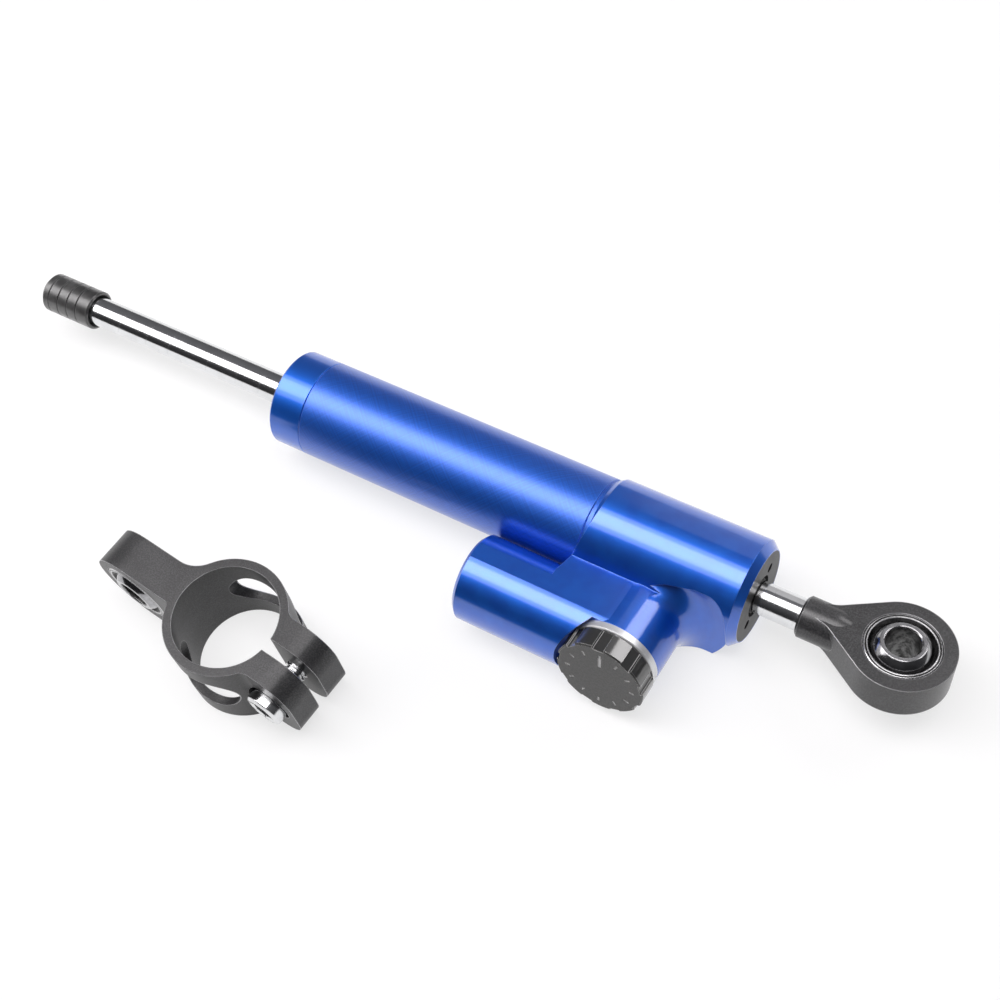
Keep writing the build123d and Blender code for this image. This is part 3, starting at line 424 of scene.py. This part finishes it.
def blasted_black(name, gloss):
    """Bead-blasted black anodising with its edges bright from wear and a painted highlight along them."""
    f = Finish(name)
    grain = f.noise(f.coordinates, f.size.blast_grain, 3.0, 0.6)
    patch = f.noise(f.coordinates, 6 * MM, 3.0)
    rounded, edge = f.soft_edges(f.size.edge_width * 1.5)
    wear_and_highlight = edge * (0.6 + patch * 0.6)
    light = tuple(c * 2.0 for c in f.tint.black)
    shade = f.mix((grain * 0.8 + patch * 0.2).ramp(0.42, 0.62), f.tint.black, light)
    # Edges get a lighter grey: wear to bare metal and a painted highlight.
    shade = f.mix(wear_and_highlight, shade, BLAST_EDGE_WEAR_AND_HIGHLIGHT)
    return f.surface(
        Base_Color=shade, Metallic=0.4 + wear_and_highlight * 0.5,
        Roughness=0.5 + grain * 0.08 - wear_and_highlight * 0.2, Specular_IOR_Level=0.3,
        Coat_Weight=gloss, Coat_Roughness=0.24, Coat_IOR=1.6,
        Normal=f.bump(grain, 0.06 * MM, rounded, 0.6))


def knob_black(name):
    """Satin black anodising of the knob, with paint in the dial's ticks."""
    f = Finish(name)
    place = f.local(VALVE_FOOT, VALVE_TURN)
    x, y, z = f.split(place)
    reach = f.radius(x, y)
    rings = f.lines(reach, 0.3 * MM, 2.0)
    grain = f.noise(place, 0.3 * MM, 2.0)
    patch = f.noise(place, 4 * MM, 3.0)
    rounded, edge = f.soft_edges(f.size.edge_width)
    wear_and_highlight = edge * (0.7 + patch * 0.5)
    face = z > KNOB_FACE
    light = tuple(c * 1.9 for c in f.tint.knob)
    speckle = f.noise(place, f.size.blast_grain * 1.4, 3.0, 0.6).ramp(0.4, 0.6)
    shade = f.mix(face * (0.3 + speckle * 0.6), f.tint.knob, light)
    # Edges get a lighter grey: wear and a painted highlight.
    shade = f.mix(wear_and_highlight, shade, KNOB_EDGE_WEAR_AND_HIGHLIGHT)
    ticks = (z < TICK_BAND[1]) * (z > TICK_BAND[0]) * (reach < TICK_REACH)
    shade = f.mix(ticks, shade, f.tint.paint)
    return f.surface(
        Base_Color=shade, Metallic=0.6 - ticks * 0.6,
        Roughness=0.3 + grain * 0.12 + ticks * 0.2 + face * 0.14,
        Coat_Weight=1.0 - face * 0.75, Coat_Roughness=0.12, Coat_IOR=2.0,
        Normal=f.bump(rings * 0.6 + grain * 0.4, 0.015 * MM, rounded, 0.6))


def gland_black(name):
    """Turned black anodising of the gland plate and the chamber plug."""
    f = Finish(name)
    place = f.local(EYE_CENTRE, DAMPER_TURN)
    _, y, z = f.split(place)
    rings = f.lines(f.radius(y, z), 0.3 * MM, 3.0)
    patch = f.noise(place, 3 * MM, 3.0)
    rounded, edge = f.soft_edges(f.size.edge_width * 0.7)
    shade = f.mix(rings.ramp(0.3, 0.7), f.tint.black, tuple(c * 1.5 for c in f.tint.black))
    # The edges are painted a lighter grey: a painted highlight.
    shade = f.mix(edge * 0.5, shade, GLAND_EDGE_HIGHLIGHT)
    return f.surface(
        Base_Color=shade, Metallic=0.4, Roughness=0.38 + patch * 0.1,
        Normal=f.bump(rings, 0.012 * MM, rounded, 0.7))


def bare_turned(name, centre, turn):
    """Bare turned aluminium, lines round the frame's third axis."""
    f = Finish(name)
    place = f.local(centre, turn)
    x, y, z = f.split(place)
    rings = f.lines(f.radius(x, y) + z, 0.25 * MM, 3.0)
    patch = f.noise(place, 3 * MM, 3.0)
    rounded, edge = f.soft_edges(f.size.edge_width * 0.6)
    shade = f.mix(rings.ramp(0.25, 0.75), tuple(c * 0.8 for c in f.tint.bare), f.tint.bare)
    return f.surface(
        Base_Color=shade, Metallic=0.7, Roughness=0.28 + rings * 0.1 + patch * 0.06 + edge * 0.05,
        Normal=f.bump(rings, 0.012 * MM, rounded, 0.6))


def ground_chrome(name):
    """Ground hard chrome with very fine rings and the odd hairline."""
    f = Finish(name)
    place = f.local(EYE_CENTRE, DAMPER_TURN)
    x, y, z = f.split(place)
    rings = f.lines(x, 0.18 * MM, 3.0)
    hair = f.lines(x + f.angle(z, y) * (0.7 * MM), 1.2 * MM, 1.0).ramp(0.66, 0.72)
    patch = f.noise(place, 5 * MM, 3.0)
    rounded, edge = f.soft_edges(f.size.edge_width * 0.7)
    shade = f.mix(patch.ramp(0.3, 0.7), tuple(c * 0.92 for c in f.tint.chrome), f.tint.chrome)
    shade = f.mix(hair * 0.12, shade, HAIRLINE)
    return f.surface(
        Base_Color=shade, Metallic=1.0,
        Roughness=0.07 + rings * 0.05 + patch * 0.05 + hair * 0.08 + edge * 0.05,
        Normal=f.bump(rings, 0.004 * MM, rounded, 0.5))


def blackened_steel(name, centre, turn):
    """Blackened steel of the races, with a painted highlight on two rings, at the outer rim and the inner lip.
    """
    f = Finish(name)
    x, y, _ = f.split(f.local(centre, turn))
    reach = f.radius(x, y)
    outer = reach.ramp(*RACE_RIM)
    inner = reach.band(*RACE_LIP)
    rings = outer.math("MAXIMUM", outer, inner)
    patch = f.noise(f.coordinates, 2.5 * MM, 4.0, 0.6)
    grain = f.noise(f.coordinates, 0.3 * MM, 2.0)
    rounded, edge = f.soft_edges(f.size.edge_width * 1.1)
    shade = f.mix(patch.ramp(0.3, 0.7), RACE_BLACK, RACE_WORN)
    # The two rings are painted near-white: a painted highlight.
    shade = f.mix(rings * (0.5 + patch * 0.5), shade, RACE_RING_HIGHLIGHT)
    return f.surface(
        Base_Color=shade, Metallic=1.0, Roughness=0.2 + grain * 0.14 + edge * 0.05,
        Normal=f.bump(rings + grain * 0.06, 0.1 * MM, rounded, 0.8))


def ball_steel(name, centre, turn):
    """Polished dark steel of the balls, with a duller bore whose colour is darkened as painted shade."""
    f = Finish(name)
    place = f.local(centre, turn)
    x, y, _ = f.split(place)
    reach = f.radius(x, y)
    bore = 1.0 - reach.ramp(*BALL_BORE)
    smear = f.noise(place, 1.6 * MM, 5.0, 0.65)
    rounded, edge = f.soft_edges(f.size.edge_width * 1.2)
    shade = f.mix(smear.ramp(0.3, 0.75), BALL_DARK, BALL_LIGHT)
    # The bore is painted near-black: painted shade inside it.
    shade = f.mix(bore, shade, f.mix(smear.ramp(0.35, 0.65), BORE_SHADE_DARK, BORE_SHADE_LIGHT))
    # The edges are painted near-white: a painted highlight.
    shade = f.mix(edge, shade, BALL_EDGE_HIGHLIGHT)
    return f.surface(
        Base_Color=shade, Metallic=1.0, Roughness=0.1 + smear * 0.08 + bore * 0.25,
        Normal=f.bump(smear, 0.01 * MM, rounded, 0.4))


def polished_steel(name):
    """Polished steel of the bolt and the detent ball, with faint wipe marks."""
    f = Finish(name)
    patch = f.noise(f.coordinates, 4 * MM, 4.0, 0.6)
    grain = f.noise(f.coordinates, 0.4 * MM, 2.0)
    rounded, edge = f.soft_edges(f.size.edge_width * 0.8)
    shade = f.mix(patch.ramp(0.3, 0.75), tuple(c * 0.86 for c in f.tint.chrome), f.tint.chrome)
    return f.surface(
        Base_Color=shade, Metallic=1.0, Roughness=0.1 + patch * 0.12 + edge * 0.06,
        Normal=f.bump(grain, 0.004 * MM, rounded, 0.4))


def plain_steel(name):
    """Machined steel of the small inner pieces."""
    f = Finish(name)
    patch = f.noise(f.coordinates, 2 * MM, 4.0, 0.6)
    grain = f.noise(f.coordinates, 0.2 * MM, 2.0)
    rounded, edge = f.soft_edges(f.size.edge_width * 0.5)
    shade = f.mix(patch.ramp(0.3, 0.7), STEEL_DARK, STEEL_LIGHT)
    return f.surface(
        Base_Color=shade, Metallic=1.0, Roughness=0.28 + patch * 0.14 + edge * 0.05,
        Normal=f.bump(grain, 0.008 * MM, rounded, 0.5))


def bronze_bush(name):
    """Plain bronze with fine bore lines and small pores."""
    f = Finish(name)
    place = f.local(EYE_CENTRE, DAMPER_TURN)
    x, y, z = f.split(place)
    rings = f.lines(x + f.radius(y, z), 0.3 * MM, 3.0)
    pores = f.noise(place, 0.5 * MM, 2.0).ramp(0.3, 0.42)
    rounded, edge = f.soft_edges(f.size.edge_width * 0.6)
    shade = f.mix(pores, tuple(c * 0.55 for c in f.tint.bronze), f.tint.bronze)
    return f.surface(
        Base_Color=shade, Metallic=1.0, Roughness=0.3 + rings * 0.12 + edge * 0.05,
        Normal=f.bump(rings + pores, 0.01 * MM, rounded, 0.6))


def moulded_rubber(name, gloss):
    """Moulded rubber with a bloom of dust in patches and a painted highlight on its edges."""
    f = Finish(name)
    grain = f.noise(f.coordinates, 0.3 * MM, 3.0, 0.6)
    bloom = f.noise(f.coordinates, 5 * MM, 4.0, 0.55)
    rounded, edge = f.soft_edges(f.size.edge_width)
    # The same grey is dust bloom in patches and a painted highlight on the edges.
    shade = f.mix((bloom.ramp(0.35, 0.75) * 0.3 + edge) * gloss, f.tint.rubber, RUBBER_BLOOM_AND_RIM_HIGHLIGHT)
    return f.surface(
        Base_Color=shade, Roughness=0.4 + grain * 0.12 + bloom * 0.08, Specular_IOR_Level=0.6 * gloss,
        Coat_Weight=gloss, Coat_Roughness=0.25, Coat_IOR=1.6,
        Normal=f.bump(grain, 0.03 * MM, rounded, 0.5))


def ring_plastic(name):
    """Filled plastic of the piston ring."""
    f = Finish(name)
    flecks = f.noise(f.coordinates, 0.3 * MM, 3.0, 0.7)
    patch = f.noise(f.coordinates, 2 * MM, 2.0)
    shade = f.mix(flecks.ramp(0.4, 0.6), PLASTIC_DARK, PLASTIC_LIGHT)
    return f.surface(Base_Color=shade, Roughness=0.4 + patch * 0.15, Normal=f.bump(flecks, 0.01 * MM))


# The pieces

class DAMPER_OT_barrel(bpy.types.Operator):
    """Finish the barrel tube and its end gland in turned blue"""
    bl_idname = "damper.barrel"
    bl_label = "Barrel"

    def execute(self, context):
        finish_nodes(blue_turned("blue crosshatched barrel", 1.0, 0.3), "barrel_tube")
        finish_nodes(blue_turned("blue turned end gland", 0.0, 0.13), "barrel_end_gland")
        return {"FINISHED"}


class DAMPER_OT_body(bpy.types.Operator):
    """Finish the head, the web, the side chamber and the valve boss in smooth blue"""
    bl_idname = "damper.body"
    bl_label = "Head and side chamber"

    def execute(self, context):
        finish_nodes(blue_smooth("blue machined body"), "damper_body")
        finish_nodes(gland_black("black turned plug"), "chamber_plug")
        finish_nodes(bare_turned("bare turned float", CHAMBER_AXIS, ROUND_DAMPER), "floating_piston")
        return {"FINISHED"}


class DAMPER_OT_glands(bpy.types.Operator):
    """Finish the gland plate, the bushes, the seals and the sealing rings"""
    bl_idname = "damper.glands"
    bl_label = "Glands and seals"

    def execute(self, context):
        finish_nodes(gland_black("black turned gland plate"), "front_gland_nut")
        finish_nodes(bronze_bush("bronze rod bush"), "front_rod_bush", "rear_rod_bush")
        finish_nodes(
            moulded_rubber("seal rubber", 0.1), "front_rod_seal", "rear_rod_seal", "front_rod_wiper",
            "rear_rod_wiper", "front_barrel_oring", "rear_barrel_oring", "chamber_plug_oring",
            "floating_piston_oring", "spindle_oring")
        return {"FINISHED"}


class DAMPER_OT_rod(bpy.types.Operator):
    """Finish the chromed rod, the piston, its ring and its clips"""
    bl_idname = "damper.rod"
    bl_label = "Rod and piston"

    def execute(self, context):
        finish_nodes(ground_chrome("ground chrome rod"), "piston_rod")
        finish_nodes(bare_turned("bare turned piston", EYE_CENTRE, ROUND_DAMPER), "piston")
        finish_nodes(plain_steel("spring steel clips"), "rear_piston_clip", "front_piston_clip")
        finish_nodes(ring_plastic("filled plastic ring"), "piston_ring")
        return {"FINISHED"}


class DAMPER_OT_cap(bpy.types.Operator):
    """Finish the ribbed rubber cap on the rod's far end"""
    bl_idname = "damper.cap"
    bl_label = "Rubber cap"

    def execute(self, context):
        finish_nodes(moulded_rubber("cap rubber", 0.9), "rubber_end_cap")
        return {"FINISHED"}


class DAMPER_OT_eye(bpy.types.Operator):
    """Finish the rod eye, its race and its ball, and add the run of its collar into the flat"""
    bl_idname = "damper.eye"
    bl_label = "Rod eye"

    def execute(self, context):
        run = context.scene.damper_sizes.neck_blend
        collar_radius = 5.13 * MM
        flat_radius = 4.46 * MM
        inner_radius = 4.0 * MM
        run_start = -15.7 * MM
        cover_start = run_start - 0.9 * MM
        hidden_start = run_start - 2.6 * MM
        hidden_radius = collar_radius - 0.1 * MM
        run_steps = 16
        round_steps = 120

        def neck(bm):
            profile = [
                (hidden_start, inner_radius), (hidden_start, hidden_radius), (cover_start, collar_radius),
            ]
            for i in range(run_steps + 1):
                t = i / run_steps
                fall = t * t * (3.0 - 2.0 * t)
                profile.append((run_start + run * t, collar_radius - (collar_radius - flat_radius) * fall))
            profile.append((run_start + run, inner_radius))
            made = [bm.verts.new((x, 0.0, r)) for x, r in profile]
            edges = [bm.edges.new(pair) for pair in zip(made, made[1:] + made[:1])]
            bmesh.ops.spin(
                bm, geom=made + edges, cent=EYE_CENTRE, axis=(1, 0, 0), angle=2 * math.pi,
                steps=round_steps, use_merge=True)

        black = blasted_black("blasted black eye", 0.7)
        finish_nodes(black, "rod_eye_housing")
        piece("eye_neck_run", neck, "rod", black)
        finish_nodes(blackened_steel("blackened race", EYE_CENTRE, DAMPER_TURN), "rod_eye_race")
        finish_nodes(ball_steel("polished ball", EYE_CENTRE, DAMPER_TURN), "rod_eye_ball")
        return {"FINISHED"}


class DAMPER_OT_knob(bpy.types.Operator):
    """Finish the knob, its bezel and the valve parts under it"""
    bl_idname = "damper.knob"
    bl_label = "Adjuster knob"

    def execute(self, context):
        finish_nodes(knob_black("satin black knob"), "adjuster_knob")
        finish_nodes(bare_turned("bare turned bezel", VALVE_FOOT, VALVE_TURN), "bezel_ring")
        finish_nodes(
            plain_steel("valve steel"), "knob_grub_screw", "knob_spindle", "metering_needle",
            "detent_spring", "spindle_retainer")
        finish_nodes(polished_steel("detent ball steel"), "detent_ball")
        return {"FINISHED"}


class DAMPER_OT_clamp(bpy.types.Operator):
    """Finish the clamp ring, its race and its ball"""
    bl_idname = "damper.clamp"
    bl_label = "Clamp"

    def execute(self, context):
        finish_nodes(blasted_black("blasted black clamp", 0.3), "clamp_ring")
        finish_nodes(blackened_steel("blackened clamp race", CLAMP_EAR, EAR_TURN), "clamp_race")
        finish_nodes(ball_steel("polished clamp ball", CLAMP_EAR, EAR_TURN), "clamp_ball")
        return {"FINISHED"}


class DAMPER_OT_clamp_bolt(bpy.types.Operator):
    """Add the clamp's socket bolt with its cut thread"""
    bl_idname = "damper.clamp_bolt"
    bl_label = "Clamp bolt"

    def execute(self, context):
        size = context.scene.damper_sizes
        axes = Matrix((TO_EAR, Vector((0, 0, 1)), TO_FRONT)).transposed().to_4x4()
        place = Matrix.Translation(CLAMP_BOLT) @ axes
        head_top = 11.4 * MM
        head_base = 5.4 * MM
        head_radius = 5.0 * MM
        head_bevel = 0.4 * MM
        crown_drop = 0.1 * MM
        crown_radius = 4.3 * MM
        mouth_radius = 3.05 * MM
        socket_half = 2.5 * MM
        socket_sink = 0.25 * MM
        socket_depth = 2.6 * MM
        sixth = math.pi / 3
        tip = -8.0 * MM
        tip_bevel = 0.3 * MM
        foot_sink = 0.02 * MM
        thread_end = 0.6 * MM
        turn_slices = 24
        pitch = size.thread_pitch
        core = 3.0 * MM - size.thread_depth
        crest = core + size.thread_depth * 0.9
        thread_start = tip + tip_bevel
        turns = int((head_base - tip - thread_end) / pitch)

        def open_edges(geometry):
            return [e for e in geometry if isinstance(e, bmesh.types.BMEdge) and e.is_boundary]

        def corners(geometry):
            return [v for v in geometry if isinstance(v, bmesh.types.BMVert)]

        def bolt(bm):
            profile = [
                (0.0, tip), (core - tip_bevel, tip), (core, tip + tip_bevel), (core, head_base),
                (head_radius - head_bevel, head_base), (head_radius, head_base + head_bevel),
                (head_radius, head_top - crown_drop - head_bevel),
                (head_radius - head_bevel, head_top - crown_drop),
                (crown_radius, head_top), (mouth_radius, head_top),
            ]
            made = [bm.verts.new((r, 0.0, w)) for r, w in profile]
            edges = [bm.edges.new(pair) for pair in zip(made, made[1:])]
            bmesh.ops.spin(
                bm, geom=made + edges, cent=(0, 0, 0), axis=(0, 0, 1), angle=2 * math.pi,
                steps=size.bolt_facets, use_merge=True)
            bmesh.ops.remove_doubles(bm, verts=bm.verts, dist=1e-7)

            # The six flats of the socket, from the round mouth down to its floor
            mouth = bmesh.ops.extrude_edge_only(bm, edges=open_edges(bm.edges))["geom"]
            for v in corners(mouth):
                around = math.atan2(v.co.y, v.co.x)
                flat = socket_half / math.cos((around + sixth / 2) % sixth - sixth / 2)
                v.co = Vector((math.cos(around) * flat, math.sin(around) * flat, head_top - socket_sink))
            wall = bmesh.ops.extrude_edge_only(bm, edges=open_edges(mouth))["geom"]
            bmesh.ops.translate(bm, verts=corners(wall), vec=(0, 0, -socket_depth))
            bmesh.ops.contextual_create(bm, geom=open_edges(wall))

            # The thread, one ridge turned along the core
            ridge = [
                bm.verts.new((r, 0.0, thread_start + w)) for r, w in (
                    (core - foot_sink, 0.0), (crest, pitch * 0.42), (crest, pitch * 0.54),
                    (core - foot_sink, pitch))
            ]
            flank = [bm.edges.new(pair) for pair in zip(ridge, ridge[1:])]
            bmesh.ops.spin(
                bm, geom=ridge + flank, cent=(0, 0, 0), axis=(0, 0, 1), angle=2 * math.pi * turns,
                steps=turn_slices * turns, dvec=(0, 0, pitch / turn_slices))
            bmesh.ops.transform(bm, matrix=place, verts=bm.verts)

        steel = polished_steel("polished bolt")
        made = piece("clamp_bolt_threaded", bolt, "clamp", steel)
        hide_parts("clamp_bolt")
        return {"FINISHED"}


# Floor, lamps and camera

# Name, place, aim, width and length in metres, and the setting that holds the power
LAMPS = (
    ("top_lamp", (-0.3, -0.08, 0.62), (-0.12, -0.04, 0.0), 0.5, 1.3, "top_power"),
    ("core_lamp", (-0.3, -0.07, 0.6), (-0.12, -0.04, 0.0), 0.28, 1.2, "core_power"),
    ("right_lamp", (0.156, 0.384, 0.378), (-0.058, -0.03, 0.0), 0.3, 0.2, "right_power"),
    ("back_lamp", (-0.1, 0.9, 0.35), (-0.12, 0.0, 0.0), 0.5, 1.0, "side_power"),
    ("left_lamp", (-1.0, -0.2, 0.4), (-0.12, 0.0, 0.0), 0.6, 0.5, "side_power"),
)
CAMERA_PLACE = Vector((37.8, -151.1932, 340.4838)) * MM
CAMERA_RIGHT = Vector((0.8575, 0.4958, -0.1376))
CAMERA_UP = Vector((-0.3746, 0.7849, 0.4935))
CAMERA_BACK = Vector((0.3527, -0.3717, 0.8588))
FLOOR_HALF_WIDTH = 6.0
FLOOR_DROP = 0.01 * MM
FLOOR_GLOW = 0.7
SKY_DARK = (0.03, 0.03, 0.032)
SKY_LIGHT = (0.17, 0.17, 0.18)


def lamp(name, place, aim, width, length, power):
    """A soft rectangular lamp that faces a point."""
    light = bpy.data.lights.new(name, "AREA")
    light.shape = "RECTANGLE"
    light.size = width
    light.size_y = length
    light.energy = power
    light.color = bpy.context.scene.damper_studio.lamp_tint
    made = bpy.data.objects.new(name, light)
    made.location = place
    made.rotation_euler = (Vector(place) - Vector(aim)).to_track_quat("Z", "Y").to_euler()
    bpy.context.scene.collection.objects.link(made)
    return made


class DAMPER_OT_studio(bpy.types.Operator):
    """Add the pale floor, the soft lamps and the camera"""
    bl_idname = "damper.studio"
    bl_label = "Studio"

    def execute(self, context):
        scene = context.scene
        studio = scene.damper_studio
        f = Finish("studio floor")
        cloud = f.noise(f.coordinates, 0.4, 2.0)
        shade = f.mix(cloud * 0.5, studio.floor, tuple(c * 0.985 for c in studio.floor))
        shader = f.node("ShaderNodeBsdfDiffuse", {}, {"Color": shade})
        glow = f.node("ShaderNodeEmission", {}, {"Color": (1.0, 1.0, 1.0, 1.0), "Strength": 1.0})
        ray = f.node("ShaderNodeLightPath", {}, {})
        seen = ray.part("Is Camera Ray") + ray.part("Is Glossy Ray") + ray.part("Is Transmission Ray")
        share = seen.math("MINIMUM", seen, 1.0) * FLOOR_GLOW
        both = f.node("ShaderNodeMixShader", {}, {0: share, 1: shader, 2: glow})
        f.node("ShaderNodeOutputMaterial", {}, {"Surface": both})
        bm = bmesh.new()
        bmesh.ops.create_grid(bm, x_segments=1, y_segments=1, size=FLOOR_HALF_WIDTH)
        bmesh.ops.translate(bm, verts=bm.verts, vec=(0, 0, cad_box[0][2] - FLOOR_DROP))
        mesh = bpy.data.meshes.new("studio_floor")
        bm.to_mesh(mesh)
        bm.free()
        floor = bpy.data.objects.new("studio_floor", mesh)
        floor.data.materials.append(f.material)
        scene.collection.objects.link(floor)

        for name, place, aim, width, length, power in LAMPS:
            lamp(name, place, aim, width, length, getattr(studio, power))

        w = Finish("studio world", world=True)
        _, depth, height = w.split(w.coordinates)
        share = depth.ramp(-0.6, 0.8) * 0.6 + height.ramp(0.2, 1.0) * 0.4
        sky = w.mix(share, SKY_DARK, SKY_LIGHT)
        background = w.node("ShaderNodeBackground", {}, {"Color": sky, "Strength": 1.0})
        w.node("ShaderNodeOutputWorld", {}, {"Surface": background})
        scene.world = w.material

        data = bpy.data.cameras.new("photo_camera")
        data.lens = studio.lens
        data.sensor_width = 36.0
        data.sensor_fit = "HORIZONTAL"
        data.clip_start = 0.01
        camera = bpy.data.objects.new("photo_camera", data)
        turn = Matrix((CAMERA_RIGHT, CAMERA_UP, CAMERA_BACK)).transposed().to_4x4()
        camera.matrix_world = Matrix.Translation(CAMERA_PLACE) @ turn
        scene.collection.objects.link(camera)
        scene.camera = camera
        scene.view_settings.view_transform = "Standard"
        return {"FINISHED"}


class DAMPER_PT_panel(bpy.types.Panel):
    """Lists the steps that dress the damper"""
    bl_label = "Steering Damper"
    bl_idname = "DAMPER_PT_panel"
    bl_space_type = "VIEW_3D"
    bl_region_type = "UI"
    bl_category = "Damper"

    def draw(self, context):
        for step in STEPS:
            self.layout.operator(step.bl_idname)
        scene = context.scene
        for group in (scene.damper_sizes, scene.damper_colours, scene.damper_studio):
            for name in group.__annotations__:
                self.layout.prop(group, name)


STEPS = (
    DAMPER_OT_barrel, DAMPER_OT_body, DAMPER_OT_glands, DAMPER_OT_rod, DAMPER_OT_cap, DAMPER_OT_eye,
    DAMPER_OT_knob, DAMPER_OT_clamp, DAMPER_OT_clamp_bolt, DAMPER_OT_studio,
)
GROUPS = (DamperSizes, DamperColours, DamperStudio)


def register():
    for item in GROUPS + STEPS + (DAMPER_PT_panel,):
        bpy.utils.register_class(item)
    bpy.types.Scene.damper_sizes = PointerProperty(type=DamperSizes)
    bpy.types.Scene.damper_colours = PointerProperty(type=DamperColours)
    bpy.types.Scene.damper_studio = PointerProperty(type=DamperStudio)


def unregister():
    del bpy.types.Scene.damper_studio
    del bpy.types.Scene.damper_colours
    del bpy.types.Scene.damper_sizes
    for item in reversed(GROUPS + STEPS + (DAMPER_PT_panel,)):
        bpy.utils.unregister_class(item)


def plain(box):
    """A box's corners as lists of numbers."""
    return [[float(c) for c in corner] for corner in box]


def main():
    register()
    bpy.ops.damper.barrel()
    bpy.ops.damper.body()
    bpy.ops.damper.glands()
    bpy.ops.damper.rod()
    bpy.ops.damper.cap()
    bpy.ops.damper.eye()
    bpy.ops.damper.knob()
    bpy.ops.damper.clamp()
    bpy.ops.damper.clamp_bolt()
    bpy.ops.damper.studio()


if __name__ == "__main__":
    main()
